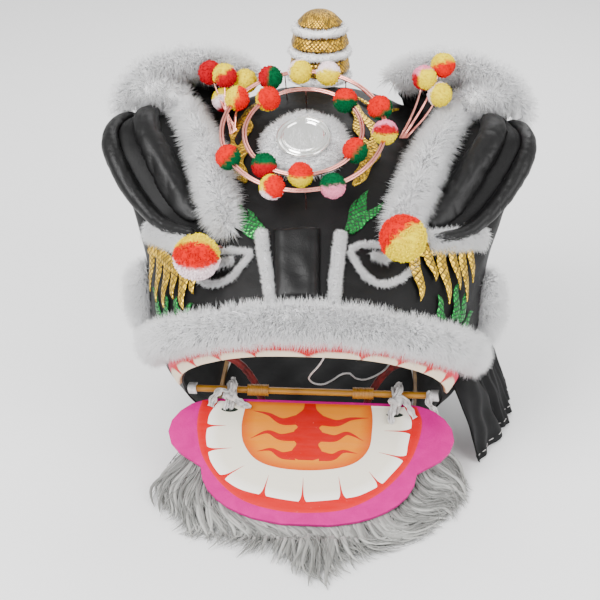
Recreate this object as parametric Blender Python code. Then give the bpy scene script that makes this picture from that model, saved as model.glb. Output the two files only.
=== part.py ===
"""Head of a southern style lion dance costume, standing on its base hoop with the jaw board open.

Metres, +Z up. The face looks along -Y, and X = 0 is the plane of symmetry of the shell.
"""

import math

import bmesh
import bpy
import numpy as np
from mathutils.bvhtree import BVHTree

# Driving dimensions
WALL = 0.003
GAP = 0.0004
PAD_GAP = 0.0012
SEAT = 0.0003
SEAT_STEP = 0.0002
SEAT_MOST = 0.0060
HOOP_HALF_WIDTH = 0.175
HOOP_HALF_LENGTH = 0.200
HOOP_CENTRE_Y = 0.050
HOOP_BAR = 0.012
FOOT_Z = HOOP_BAR + GAP
BAR_Y = -0.162
BAR_Z = 0.113
BAR_RADIUS = 0.0055
BAR_HALF_LENGTH = 0.196
JAW_SLOPE = math.radians(21.5)
BOARD_THICKNESS = 0.005
BOARD_TOP = -0.0065
HORN_X = -0.006
HORN_Y = 0.108
HORN_FOOT_RADIUS = 0.056
POMPOM_RADIUS = 0.020
BIG_POMPOM_RADIUS = 0.035
RING_WIRE = 0.004
STEM_WIRE = 0.002

# The shell's stations from the mouth to the neck. Each is an arch: crest in the middle plane,
# side where it is widest, and a foot on the base hoop.
STATIONS = [
    # crest_y, crest_z, side_x, side_y, side_z, foot_y
    (-0.306, 0.262, 0.206, -0.168, 0.116, -0.095),  # mouth rim
    (-0.328, 0.332, 0.248, -0.132, 0.168, -0.080),  # muzzle
    (-0.312, 0.358, 0.254, -0.118, 0.200, -0.062),  # nose foot
    (-0.270, 0.396, 0.256, -0.104, 0.236, -0.042),  # cheek
    (-0.228, 0.430, 0.254, -0.088, 0.268, -0.022),  # nose top
    (-0.180, 0.460, 0.248, -0.066, 0.300, 0.000),  # brow
    (-0.122, 0.491, 0.238, -0.038, 0.328, 0.028),  # forehead
    (-0.066, 0.517, 0.227, -0.006, 0.346, 0.058),  # mirror
    (0.000, 0.538, 0.215, 0.038, 0.354, 0.096),  # crown
    (0.070, 0.541, 0.202, 0.088, 0.346, 0.138),  # horn
    (0.142, 0.512, 0.187, 0.146, 0.318, 0.182),  # back
    (0.200, 0.455, 0.170, 0.204, 0.278, 0.218),  # neck rim
]
CREST_Y, CREST_Z, SIDE_X, SIDE_Y, SIDE_Z, FOOT_Y = range(6)
ARCH_FULLNESS = 0.82
EYE_T = 7.0
EYE_A = 0.77
EYE_REACH_T = 2.3
EYE_REACH_A = 0.20
EYE_HEIGHT = 0.132
EYE_LOOK = (0.70, -0.12, 0.70)

# Routes on the shell: t counts the stations, a is 0 at the crest, 1 at the side, 2 at the foot.
NOSE_PATH = [(2.12, 0.0), (2.5, 0.0), (3.2, 0.0), (3.95, 0.0)]
NOSE_STRIP_PATH = [(2.12, 0.092), (2.6, 0.094), (3.2, 0.099), (3.95, 0.108)]
BROW_PATH = [(3.85, 0.250), (4.6, 0.295), (5.6, 0.365), (6.5, 0.440), (7.2, 0.510), (8.0, 0.585),
             (8.6, 0.640)]
LID_PATH = [(4.45, 0.410), (4.9, 0.490), (5.6, 0.563), (6.4, 0.620), (7.2, 0.665), (8.0, 0.695)]
LID_RIM_PATH = [(4.0, 0.410), (4.2, 0.540), (4.8, 0.660), (5.4, 0.725), (6.1, 0.765), (6.9, 0.790),
                (7.9, 0.790)]
UNDER_EYE_PATH = [(3.30, 0.36), (3.42, 0.47), (3.72, 0.62), (4.35, 0.80), (4.9, 0.89)]
MUZZLE_PATH = [(1.15, 0.0), (1.1, 0.1), (1.0, 0.2), (0.95, 0.3), (0.9, 0.45), (0.88, 0.6),
               (0.95, 0.8), (1.0, 1.0)]
CHEEK_PATH = [(1.95, 0.96), (2.6, 0.95), (3.3, 0.93), (4.0, 0.91)]
LIP_PATH = [(0.24, 0.0), (0.24, 0.2), (0.22, 0.4), (0.20, 0.6), (0.17, 0.8), (0.16, 0.96)]
EYE_PATCH_PATH = [(3.3, 0.155), (2.75, 0.185), (2.55, 0.26), (2.7, 0.34), (3.05, 0.375)]
CRESCENT_PATH = [(8.1, 0.19), (7.4, 0.262), (6.5, 0.272), (5.5, 0.20)]
GOLD_PATH = [(2.98, 0.40), (3.1, 0.48), (3.35, 0.60), (3.75, 0.74)]
CHEEK_FLAME_PATH = [(1.78, 0.42), (1.74, 0.52), (1.74, 0.62), (1.80, 0.74)]
FOREHEAD_FLAME_PATH = [(4.10, 0.130), (3.88, 0.160), (3.68, 0.190)]
MIRROR_PLACE = (6.55, -0.03)
MIRROR_FUR_RADIUS = 0.070
MIRROR_FUR_HEIGHT = 0.014
MIRROR_RADIUS = 0.041
EAR_BASE = [(8.9, 0.40), (8.9, 0.52), (8.75, 0.64), (8.2, 0.80)]

# The rim of the right ear, from the inner end over the top to the outer end.
EAR_RIM = [
    # x, y, z
    (0.112, 0.072, 0.556),
    (0.150, 0.062, 0.580),
    (0.195, 0.052, 0.592),
    (0.255, 0.042, 0.584),
    (0.300, 0.036, 0.554),
    (0.314, 0.028, 0.512),
]

# The pompom rings: radius, lift above the forehead, pompom places and leg places in degrees.
INNER_RING = {"radius": 0.088, "lift": 0.034, "pompoms": (46, 130, 232, 270, 333),
              "legs": (90, 250, 290)}
OUTER_RING = {"radius": 0.122, "lift": 0.038, "pompoms": (21, 74, 95, 117, 148, 208, 251, 293, 357),
              "legs": (60, 106, 274)}
SPRIG_POMPOMS = [
    # x, y, z of the right sprig
    (0.160, -0.016, 0.590),
    (0.188, 0.004, 0.604),
    (0.184, -0.022, 0.566),
]
LEFT_SPRIG_POMPOMS = [
    (0.146, -0.012, 0.586),
    (0.116, 0.004, 0.572),
    (0.150, 0.004, 0.541),
    (0.172, 0.018, 0.580),
]
BIG_POMPOMS = {
    # word: centre, and the foot of its wire on the shell as (t, a)
    "left": ((-0.161, -0.284, 0.408), (3.45, -0.285)),
    "right": ((0.1315, -0.2765, 0.4425), (3.55, 0.255)),
}

# The right half of the jaw board's outline: x, and r forward from the bar along the board.
BOARD_OUTLINE = [
    # x, r
    (0.150, 0.014),
    (0.185, 0.022),
    (0.210, 0.042),
    (0.224, 0.072),
    (0.216, 0.104),
    (0.194, 0.126),
    (0.168, 0.141),
    (0.162, 0.165),
    (0.148, 0.190),
    (0.120, 0.214),
    (0.080, 0.232),
    (0.035, 0.241),
]
SLOT_X = 0.131
SLOT_R = 0.036
SLOT_HALF_WIDTH = 0.013
SLOT_HALF_LENGTH = 0.005

# The beard round the jaw board, from its left end past the front to its right end.
BEARD_RIM = [
    # x, r on the board, reach outwards over the floor, side sweep of the tips
    (-0.205, 0.060, 0.035, 0.000),
    (-0.185, 0.118, 0.062, -0.004),
    (-0.150, 0.165, 0.095, -0.006),
    (-0.105, 0.200, 0.085, -0.004),
    (-0.050, 0.216, 0.075, 0.004),
    (0.000, 0.220, 0.105, 0.020),
    (0.045, 0.216, 0.135, 0.012),
    (0.095, 0.202, 0.085, 0.010),
    (0.145, 0.168, 0.072, 0.016),
    (0.182, 0.120, 0.085, 0.020),
    (0.205, 0.060, 0.040, 0.010),
]

# The white mouth string, from inside the upper lip down behind the bar to the right strut.
STRING_ROUTE = [
    # x, y, z
    (0.022, -0.288, 0.258),
    (0.021, -0.270, 0.240),
    (0.012, -0.235, 0.205),
    (-0.002, -0.195, 0.165),
    (-0.006, -0.165, 0.138),
    (0.002, -0.145, 0.118),
    (0.016, -0.136, 0.112),
    (0.030, -0.132, 0.118),
    (0.044, -0.130, 0.128),
    (0.058, -0.130, 0.130),
    (0.066, -0.130, 0.122),
    (0.080, -0.128, 0.118),
    (0.096, -0.124, 0.122),
    (0.112, -0.118, 0.130),
    (0.1208, -0.110, 0.1374),
]
STRING_RADIUS = 0.0015

# The right mouth strut, from the side wall down to the front rail of the hoop.
STRUT_ROUTE = [
    # x, y, z
    (0.196, -0.112, 0.158),
    (0.160, -0.112, 0.150),
    (0.120, -0.110, 0.128),
    (0.090, -0.118, 0.080),
    (0.072, -0.143, 0.0155),
]
STRUT_RADIUS = 0.0065

# The neck drape on the right: t along the shell's side, and how far its hem flares out.
DRAPE_FROM, DRAPE_TO = 1.6, 7.2
DRAPE_A = 1.30
DRAPE_FLARE = (0.045, 0.100)
DRAPE_FOLDS = 5
CLOTH = 0.002
FLOOR_CLOTH_Y = (-0.110, 0.200)
FLOOR_CLOTH_ROUNDING = 1.4

# The part's origin is the middle of its footprint, on the floor.
ORIGIN_Y = -0.1156

# Pieces that are pushed towards the middle of the head until they touch what carries them, in
# order; a star stands for left and right.
MIDDLE_Y, MIDDLE_Z = 0.03, 0.25
SEATED_INWARD = [
    "nose_bridge", "nose_strip*", "muzzle_fur", "upper_lip", "cheek_fur*", "lid*", "lid_rim*",
    "brow_fur*", "under_eye_fur*", "eye_patch_fur*", "crescent*", "forehead_flame*", "cheek_flame*",
    "gold_fringe*", "mirror_fur", "pompom_ring_inner", "pompom_ring_outer", "pompom_sprig*",
    "big_pompom*", "neck_drape",
]

# How the names of the pieces that turn with the bar begin.
JAW_PIECES = ("jaw_board", "slot_cutter", "bamboo_bar", "bar_wrap", "tie_", "beard")

COLOURS = {
    # name: red, green, blue (linear), roughness, metallic
    "black_satin": (0.012, 0.012, 0.014, 0.45, 0.0),
    "white_fur": (0.80, 0.80, 0.83, 0.90, 0.0),
    "grey_hair": (0.33, 0.33, 0.32, 0.80, 0.0),
    "gold_sequin": (0.62, 0.40, 0.06, 0.30, 0.9),
    "green_sequin": (0.01, 0.20, 0.07, 0.35, 0.6),
    "red_tape": (0.60, 0.03, 0.02, 0.60, 0.0),
    "lip_cloth": (0.70, 0.16, 0.12, 0.70, 0.0),
    "bamboo": (0.48, 0.24, 0.04, 0.55, 0.0),
    "pink_board": (0.90, 0.04, 0.35, 0.45, 0.0),
    "white_cloth": (0.75, 0.75, 0.73, 0.85, 0.0),
    "mirror_metal": (0.85, 0.85, 0.85, 0.12, 1.0),
    "pompom_yarn": (0.85, 0.08, 0.03, 0.95, 0.0),
}


def clear_scene():
    """Removes the objects that the startup scene holds."""
    for obj in list(bpy.data.objects):
        bpy.data.objects.remove(obj)


def material(name):
    """The named finish, made once."""
    found = bpy.data.materials.get(name)
    if found:
        return found
    red, green, blue, roughness, metallic = COLOURS[name]
    made = bpy.data.materials.new(name)
    made.use_nodes = True
    shader = made.node_tree.nodes["Principled BSDF"]
    shader.inputs["Base Color"].default_value = (red, green, blue, 1.0)
    shader.inputs["Roughness"].default_value = roughness
    shader.inputs["Metallic"].default_value = metallic
    made.diffuse_color = (red, green, blue, 1.0)
    return made


def finish(name, points, faces, finish_name):
    """An object from points and faces, with its faces pointing out."""
    mesh = bpy.data.meshes.new(name)
    mesh.from_pydata([tuple(map(float, p)) for p in points], [], faces)
    work = bmesh.new()
    work.from_mesh(mesh)
    bmesh.ops.recalc_face_normals(work, faces=work.faces)
    if work.calc_volume(signed=True) < 0:
        bmesh.ops.reverse_faces(work, faces=work.faces)
    work.to_mesh(mesh)
    work.free()
    mesh.shade_smooth()
    mesh.set_sharp_from_angle(angle=math.radians(50))
    mesh.materials.append(material(finish_name))
    obj = bpy.data.objects.new(name, mesh)
    bpy.context.scene.collection.objects.link(obj)
    return obj


def smooth(points, count):
    """count points along a Catmull-Rom curve through the given points, evenly spaced by length."""
    p = np.asarray(points, float)
    ends = np.vstack([2 * p[0] - p[1], p, 2 * p[-1] - p[-2]])
    fine = []
    for i in range(len(p) - 1):
        u = np.linspace(0, 1, 17)[:-1, None]
        a, b, c, d = ends[i : i + 4]
        fine.append(0.5 * (2 * b + (c - a) * u + (2 * a - 5 * b + 4 * c - d) * u**2
                           + (3 * b - a - 3 * c + d) * u**3))
    fine = np.vstack(fine + [p[-1:]])
    run = np.concatenate([[0], np.cumsum(np.linalg.norm(np.diff(fine, axis=0), axis=1))])
    at = np.linspace(0, run[-1], count)
    return np.stack([np.interp(at, run, fine[:, k]) for k in range(p.shape[1])], axis=1)


def unit(v):
    """Rows of v scaled to length 1."""
    return v / np.maximum(np.linalg.norm(v, axis=-1, keepdims=True), 1e-12)


def hoop_x(y):
    """Half width of the base hoop at y, a rounded rectangle."""
    t = np.clip(np.abs(y - HOOP_CENTRE_Y) / HOOP_HALF_LENGTH, 0, 0.999)
    return HOOP_HALF_WIDTH * (1 - t**3.33) ** 0.3


def station(t):
    """The stations' six numbers at fractional places t, by Catmull-Rom interpolation."""
    table = np.array(STATIONS)
    padded = np.vstack([2 * table[0] - table[1], table, 2 * table[-1] - table[-2]])
    t = np.clip(np.asarray(t, float), 0, len(table) - 1)
    i = np.minimum(t.astype(int), len(table) - 2)
    u = (t - i)[..., None]
    a, b, c, d = (padded[i + k] for k in range(4))
    return 0.5 * (2 * b + (c - a) * u + (2 * a - 5 * b + 4 * c - d) * u**2
                  + (3 * b - a - 3 * c + d) * u**3)


def bare_shell(t, a):
    """Points of the outer shell on the +X side (-X where a is negative), with the eye mounds."""
    t, a = np.broadcast_arrays(np.asarray(t, float), np.asarray(a, float))
    side = np.where(a < 0, -1.0, 1.0)
    a = np.abs(a)
    s = station(t)
    upper = np.clip(a, 0, 1) * math.pi / 2
    rise = np.cos(upper).clip(0) ** ARCH_FULLNESS
    x = s[..., SIDE_X] * np.sin(upper) ** ARCH_FULLNESS
    y = s[..., SIDE_Y] + (s[..., CREST_Y] - s[..., SIDE_Y]) * rise
    z = s[..., SIDE_Z] + (s[..., CREST_Z] - s[..., SIDE_Z]) * rise
    lower = np.clip(a - 1, 0, 1)
    foot_y = s[..., FOOT_Y]
    x = x + (hoop_x(foot_y) - s[..., SIDE_X]) * lower**2
    y = y + (foot_y - s[..., SIDE_Y]) * lower
    z = z + (FOOT_Z - s[..., SIDE_Z]) * lower
    plain = np.stack([x, y, z], axis=-1)
    away = ((t - EYE_T) / EYE_REACH_T) ** 2 + ((a - EYE_A) / EYE_REACH_A) ** 2
    raised = plain + (EYE_HEIGHT * np.exp(-away))[..., None] * np.array(EYE_LOOK)
    return raised * np.stack([side, np.ones_like(side), np.ones_like(side)], axis=-1)


def shell(t, a, lift=0.0):
    """Points lifted from the outer shell along its normal."""
    t, a = np.broadcast_arrays(np.asarray(t, float), np.asarray(a, float))
    step = 0.02
    low, high = np.clip(t - step, 0, 11), np.clip(t + step, 0, 11)
    along = bare_shell(high, a) - bare_shell(low, a)
    round_it = bare_shell(t, np.clip(a + step, -2, 2)) - bare_shell(t, np.clip(a - step, -2, 2))
    normal = unit(np.cross(along, round_it))
    return bare_shell(t, a) + normal * np.asarray(lift, float)[..., None] * -1.0


def slide(t, a, shift):
    """The places on the shell reached from (t, a) by the tangent vectors shift."""
    t, a = np.array(t, float), np.array(a, float)
    target = bare_shell(t, a) + shift
    for _ in range(5):
        step = 0.01
        by_t = (bare_shell(t + step, a) - bare_shell(t - step, a)) / (2 * step)
        by_a = (bare_shell(t, a + step) - bare_shell(t, a - step)) / (2 * step)
        error = target - bare_shell(t, a)
        tt, ta, aa = (by_t * by_t).sum(-1), (by_t * by_a).sum(-1), (by_a * by_a).sum(-1)
        et, ea = (by_t * error).sum(-1), (by_a * error).sum(-1)
        det = np.maximum(tt * aa - ta * ta, 1e-12)
        t = np.clip(t + np.clip((et * aa - ea * ta) / det, -0.5, 0.5), 0.02, 10.98)
        a = np.clip(a + np.clip((ea * tt - et * ta) / det, -0.1, 0.1), -1.98, 1.98)
    return t, a


def loft(name, sections, finish_name, closed=False, sheet=False):
    """A solid through closed sections with as many points each, capped unless it is a ring.

    A sheet's section runs along its top and back along its underside. Its two walls are split
    along the same diagonals and its caps join them. Any other cap is a fan from the middle."""
    sections = np.asarray(sections, float)
    n, k = sections.shape[:2]
    points = list(sections.reshape(-1, 3))
    faces = []
    for i in range(n if closed else n - 1):
        j = (i + 1) % n
        sides = [(i * k + m, i * k + (m + 1) % k, j * k + (m + 1) % k, j * k + m) for m in range(k)]
        if sheet:
            above, below = sides[: k // 2], sides[k // 2 :]
            faces += [face for a, b, c, d in above for face in ((a, b, c), (a, c, d))]
            faces += [face for a, b, c, d in below for face in ((a, b, d), (b, c, d))]
        else:
            faces += sides
    if sheet:
        for i, order in ((0, -1), (n - 1, 1)):
            faces += [(i * k + m, i * k + m + 1, i * k + k - 2 - m, i * k + k - 1 - m)[::order]
                      for m in range(k // 2 - 1)]
    elif not closed:
        for i, order in ((0, -1), (n - 1, 1)):
            centre = len(points)
            points.append(sections[i].mean(axis=0))
            faces += [(i * k + m, i * k + (m + 1) % k, centre)[::order] for m in range(k)]
    return finish(name, points, faces, finish_name)


def tube_sections(path, radius, sides, closed=False, flat=1.0, up=(0, 0, 1)):
    """Round or oval sections across a path. flat scales them along the direction nearest up."""
    path = np.asarray(path, float)
    if closed:
        tangent = unit(np.roll(path, -1, axis=0) - np.roll(path, 1, axis=0))
    else:
        tangent = unit(np.gradient(path, axis=0))
    across = unit(np.cross(tangent, np.asarray(up, float)))
    above = np.cross(across, tangent)
    turn = np.linspace(0, 2 * math.pi, sides, endpoint=False)
    radius = np.broadcast_to(np.asarray(radius, float), (len(path),))[:, None, None]
    ring = across[:, None] * np.cos(turn)[:, None] + above[:, None] * flat * np.sin(turn)[:, None]
    return path[:, None] + radius * ring


def mat(name, path, half_width, height, finish_name, side=1, count=12, columns=5, lock=0.12,
        base=GAP, end=0.45):
    """A band lying on the shell along a route of (t, a), domed across, with uneven locks.

    Each section has a shared edge point on both sides, a domed top and a bottom on the shell."""
    route = smooth([(t, a) for t, a in path], count)
    t, a = route[:, 0], route[:, 1] * side
    centre = bare_shell(t, a)
    tangent = unit(np.gradient(centre, axis=0))
    normal = unit(shell(t, a, 0.01) - centre)
    across = np.cross(tangent, normal)
    place = np.linspace(0, 1, count)
    taper = end + (1 - end) * np.sin(math.pi * np.clip(place, 0.0, 1.0)) ** 0.35
    wave = 1 + lock * np.where(np.arange(count) % 2 == 0, 1.0, -1.0)
    c = -np.cos(np.linspace(0, math.pi, columns))
    width = half_width * taper * (0.5 + 0.5 * wave)
    shift = across[:, None] * (width[:, None] * c)[..., None]
    tt, aa = slide(t[:, None] + 0 * c, a[:, None] + 0 * c, shift)
    dome = np.sqrt(np.clip(1 - c**2, 0, 1)) ** 0.8 * (height * taper * wave)[:, None]
    top = shell(tt, aa, base + dome)
    bottom = shell(tt, aa, base)
    sections = np.concatenate([top, bottom[:, -2:0:-1]], axis=1)
    return loft(name, sections, finish_name)


def fringe(name, edge, reach, tongues, finish_name, side=1, thickness=0.0015, base=GAP, rows=4,
           root=0.25, upward=False):
    """Pointed tongues that hang from a band along a route on the shell, or rise from it.

    edge is the band's route of (t, a), reach the tongue's length, root the part of it that
    all tongues share. The strip is one solid whose free edge runs from tip to notch."""
    count = 2 * tongues + 1
    route = smooth(edge, count)
    t, a = route[:, 0], route[:, 1] * side
    centre = bare_shell(t, a)
    tangent = unit(np.gradient(centre, axis=0))
    normal = unit(shell(t, a, 0.01) - centre)
    across = np.cross(tangent, normal)
    wrong = (across[:, 2:3] > 0) != upward
    across = across * np.where(wrong, -1.0, 1.0)
    length = reach * np.where(np.arange(count) % 2 == 1, 1.0, root)
    v = np.linspace(0, 1, rows)
    shift = across[:, None] * (length[:, None] * v)[..., None]
    tt, aa = slide(t[:, None] + 0 * v, a[:, None] + 0 * v, shift)
    low = shell(tt, aa, base)
    high = shell(tt, aa, base + thickness)
    return loft(name, np.concatenate([high, low[:, ::-1]], axis=1), finish_name, sheet=True)


def leaf_strip(name, path, half_width, finish_name, side=1, thickness=0.0015, base=GAP, count=9):
    """A flat leaf on the shell along a route of (t, a), pointed at both ends."""
    route = smooth(path, count)
    t, a = route[:, 0], route[:, 1] * side
    centre = bare_shell(t, a)
    tangent = unit(np.gradient(centre, axis=0))
    normal = unit(shell(t, a, 0.01) - centre)
    across = np.cross(tangent, normal)
    width = half_width * (0.12 + 0.88 * np.sin(math.pi * np.linspace(0, 1, count)))
    c = np.array([-1.0, 0.0, 1.0])
    shift = across[:, None] * (width[:, None] * c)[..., None]
    tt, aa = slide(t[:, None] + 0 * c, a[:, None] + 0 * c, shift)
    low = shell(tt, aa, base)
    high = shell(tt, aa, base + thickness)
    return loft(name, np.concatenate([high, low[:, ::-1]], axis=1), finish_name, sheet=True)


def turned(name, profile, steps, finish_name, place=np.eye(3), centre=(0, 0, 0)):
    """A solid turned from a profile of (radius, height) whose first and last radius are 0."""
    angle = np.linspace(0, 2 * math.pi, steps, endpoint=False)
    rings = [np.stack([r * np.cos(angle), r * np.sin(angle), np.full(steps, h)], axis=1)
             for r, h in profile[1:-1]]
    points = np.vstack(rings + [[(0, 0, profile[0][1])], [(0, 0, profile[-1][1])]])
    faces = []
    for i in range(len(rings) - 1):
        for m in range(steps):
            n = (m + 1) % steps
            faces.append((i * steps + m, i * steps + n, (i + 1) * steps + n, (i + 1) * steps + m))
    first, last = len(points) - 2, len(points) - 1
    top = (len(rings) - 1) * steps
    faces += [(m, first, (m + 1) % steps) for m in range(steps)]
    faces += [(top + m, top + (m + 1) % steps, last) for m in range(steps)]
    points = points @ np.asarray(place).T + np.asarray(centre)
    return finish(name, points, faces, finish_name)


def swollen(path, wire, beads):
    """Centres and radii along a closed wire that swells into a ball at each bead.

    A bead is (place, radius), its place the distance along the path. Between the balls the
    centres are evenly spaced."""
    loop = np.vstack([path, path[:1]])
    run = np.concatenate([[0], np.cumsum(np.linalg.norm(np.diff(loop, axis=0), axis=1))])
    total = run[-1]
    swell = np.array([-1.0, -0.75, 0.0, 0.75, 1.0])
    at = set(np.round(np.linspace(0, total, 19), 5)[:-1])
    for place, radius in beads:
        reach = math.sqrt(radius**2 - wire**2)
        at = {s for s in at if abs(s - place) > reach + 0.001}
        at = {s for s in at if abs(abs(s - place) - total) > reach + 0.001}
    marks = [(s, wire) for s in at]
    for place, radius in beads:
        reach = math.sqrt(radius**2 - wire**2)
        for offset in reach * swell:
            marks.append(((place + offset) % total, max(wire, math.sqrt(radius**2 - offset**2))))
    marks.sort()
    where = np.array([m[0] for m in marks])
    centre = np.stack([np.interp(where, run, loop[:, k]) for k in range(3)], axis=1)
    return centre, np.array([m[1] for m in marks])


def fuse(name, base, others):
    """The Boolean union of base and others, as one mesh."""
    for other in others:
        union = base.modifiers.new("union", "BOOLEAN")
        union.operation = "UNION"
        union.object = other
    bpy.context.view_layer.update()
    graph = bpy.context.evaluated_depsgraph_get()
    mesh = bpy.data.meshes.new_from_object(base.evaluated_get(graph))
    base.modifiers.clear()
    base.data = mesh
    base.name = name
    for other in others:
        bpy.data.objects.remove(other)
    return base


def build_shell():
    """The hollow head: an outer and an inner surface joined along the feet and both rims."""
    half = np.concatenate([np.linspace(0, 1, 12), [1.33, 1.67, 2.0]])
    a = np.concatenate([-half[:0:-1], half])
    t = np.linspace(0, len(STATIONS) - 1, 16)
    tt, aa = np.meshgrid(t, a, indexing="ij")
    outer = shell(tt, aa)
    inner = shell(tt, aa, -WALL)
    inner[:, 0, 2] = outer[:, 0, 2]
    inner[:, -1, 2] = outer[:, -1, 2]
    sections = np.concatenate([outer, inner[:, ::-1]], axis=1)
    return loft("head_shell", sections, "black_satin", sheet=True)


def build_hoop():
    """The flat hoop that the head stands on, a rounded rectangle of square bar."""
    turn = np.linspace(0, 2 * math.pi, 32, endpoint=False)
    rounding = 0.6
    y = HOOP_CENTRE_Y + HOOP_HALF_LENGTH * np.sign(np.sin(turn)) * np.abs(np.sin(turn)) ** rounding
    x = HOOP_HALF_WIDTH * np.sign(np.cos(turn)) * np.abs(np.cos(turn)) ** rounding
    outward = unit(np.stack([x, y - HOOP_CENTRE_Y, 0 * x], axis=1))
    centre = np.stack([x, y, 0 * x], axis=1) - outward * 0.002
    half = HOOP_BAR / 2
    corners = ((-half, 0.0), (half, 0.0), (half, HOOP_BAR), (-half, HOOP_BAR))
    sections = [[c + outward[i] * out + np.array([0, 0, h]) for out, h in corners]
                for i, c in enumerate(centre)]
    return loft("base_hoop", sections, "bamboo", closed=True)


def mirrored(route, side):
    """A route of (x, y, z) points with x turned to the given side."""
    return [(side * x, y, z) for x, y, z in route]


def build_ear(side, word):
    """One ear: a curved cloth panel from the shell to its rim, and the fur along the rim."""
    count, rows, fur, thickness = 8, 4, 0.017, 0.004
    rim = smooth(mirrored(EAR_RIM, side), count)
    base_route = smooth(EAR_BASE, count)
    base = shell(base_route[:, 0], base_route[:, 1] * side, thickness / 2 + PAD_GAP)
    inward = unit(base - rim)
    top = rim + inward * (fur * 1.4 + GAP)
    v = np.linspace(0, 1, rows)[:, None]
    surface = base[:, None] * (1 - v) + top[:, None] * v
    surface[..., 1] += 0.020 * np.sin(math.pi * v[:, 0])
    along = np.gradient(surface, axis=0)
    up = np.gradient(surface, axis=1)
    normal = unit(np.cross(along, up))
    half = normal * thickness / 2
    sections = np.concatenate([surface + half, (surface - half)[:, ::-1]], axis=1)
    loft(f"ear_{word}", sections, "black_satin", sheet=True)
    sections = 11
    route = smooth(mirrored(EAR_RIM, side), sections)
    lock = 1 + 0.12 * np.where(np.arange(sections) % 2 == 0, -1.0, 1.0)
    loft(f"ear_fur_{word}", tube_sections(route, fur * lock, 6, up=(0, 1, 0)), "white_fur")


def build_face(side, word):
    """The bands, lids and trim of one side of the face. side is 1 on the right, -1 on the left."""
    mat(f"nose_strip_{word}", NOSE_STRIP_PATH, 0.0095, 0.012, "white_fur", side, count=7, base=PAD_GAP)
    mat(f"brow_fur_{word}", BROW_PATH, 0.028, 0.034, "white_fur", side, count=13, base=0.0034)
    mat(f"lid_{word}", LID_PATH, 0.030, 0.018, "black_satin", side, count=10, lock=0.0,
        base=0.0026, end=0.3)
    mat(f"lid_rim_{word}", LID_RIM_PATH, 0.013, 0.028, "black_satin", side, count=11, lock=0.0,
        base=0.0026, end=0.8)
    mat(f"under_eye_fur_{word}", UNDER_EYE_PATH, 0.011, 0.014, "white_fur", side, count=8, base=0.0022)
    mat(f"cheek_fur_{word}", CHEEK_PATH, 0.022, 0.028, "white_fur", side, count=9, base=0.0016)
    mat(f"eye_patch_fur_{word}", EYE_PATCH_PATH, 0.006, 0.007, "white_fur", side, count=11, columns=4,
        base=PAD_GAP)
    leaf_strip(f"crescent_{word}", CRESCENT_PATH, 0.014, "gold_sequin", side, base=PAD_GAP, count=7)
    fringe(f"gold_fringe_{word}", GOLD_PATH, 0.052, 5, "gold_sequin", side, base=0.0065, rows=3)
    fringe(f"cheek_flame_{word}", CHEEK_FLAME_PATH, 0.050, 4, "green_sequin", side, base=0.0020,
           rows=3, upward=True)
    fringe(f"forehead_flame_{word}", FOREHEAD_FLAME_PATH, 0.075, 3, "green_sequin", side,
           base=PAD_GAP, rows=4, upward=True)
    build_ear(side, word)


def build_mouth():
    """The fur and the lip round the upper mouth, on both sides of the middle."""
    muzzle = [(t, -a) for t, a in reversed(MUZZLE_PATH[1:])] + MUZZLE_PATH
    mat("muzzle_fur", muzzle, 0.034, 0.034, "white_fur", count=21, end=0.7, base=0.0040)
    lip = [(t, -a) for t, a in reversed(LIP_PATH[1:])] + LIP_PATH
    mat("upper_lip", lip, 0.013, 0.006, "lip_cloth", count=19, columns=4, lock=0.0, end=0.7, base=PAD_GAP)


def forehead_frame():
    """The middle of the forehead mirror on the shell, and the mirror plane's axes."""
    t, a = MIRROR_PLACE
    centre = bare_shell(t, a)
    normal = unit(shell(t, a, 0.01) - centre)
    across = unit(np.cross(np.array([0.0, 1.0, 0.0]), normal))
    up = np.cross(normal, across)
    return centre, np.stack([across, up, normal], axis=1)


def build_mirror():
    """The mirror in its raised rim, on a round mat of fur that follows the forehead."""
    centre, axes = forehead_frame()
    steps, rings = 14, (0.35, 0.75, 1.0)
    angle = np.linspace(0, 2 * math.pi, steps, endpoint=False)
    spoke = np.cos(angle)[:, None] * axes[:, 0] + np.sin(angle)[:, None] * axes[:, 1]
    scallop = 1 + 0.05 * np.where(np.arange(steps) % 2 == 0, 1.0, -1.0)
    t0, a0 = (np.full(steps, p) for p in MIRROR_PLACE)
    places = [slide(t0, a0, spoke * (MIRROR_FUR_RADIUS * r * scallop)[:, None]) for r in rings]
    profile = [(0, 1.0), (1, 1.0), (2, 0.35), (2, 0.0), (1, 0.0), (0, 0.0)]
    sections = np.stack([shell(*places[i], PAD_GAP + MIRROR_FUR_HEIGHT * h) for i, h in profile])
    loft("mirror_fur", sections, "white_fur")
    seat = MIRROR_FUR_HEIGHT + 0.0035
    r = MIRROR_RADIUS
    profile = [(0, seat), (r * 0.96, seat), (r, seat + 0.003), (r * 0.97, seat + 0.006),
               (r * 0.84, seat + 0.004), (r * 0.78, seat + 0.006), (r * 0.70, seat + 0.0035),
               (0, seat + 0.0025)]
    turned("mirror", profile, 16, "mirror_metal", axes, centre)


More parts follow.
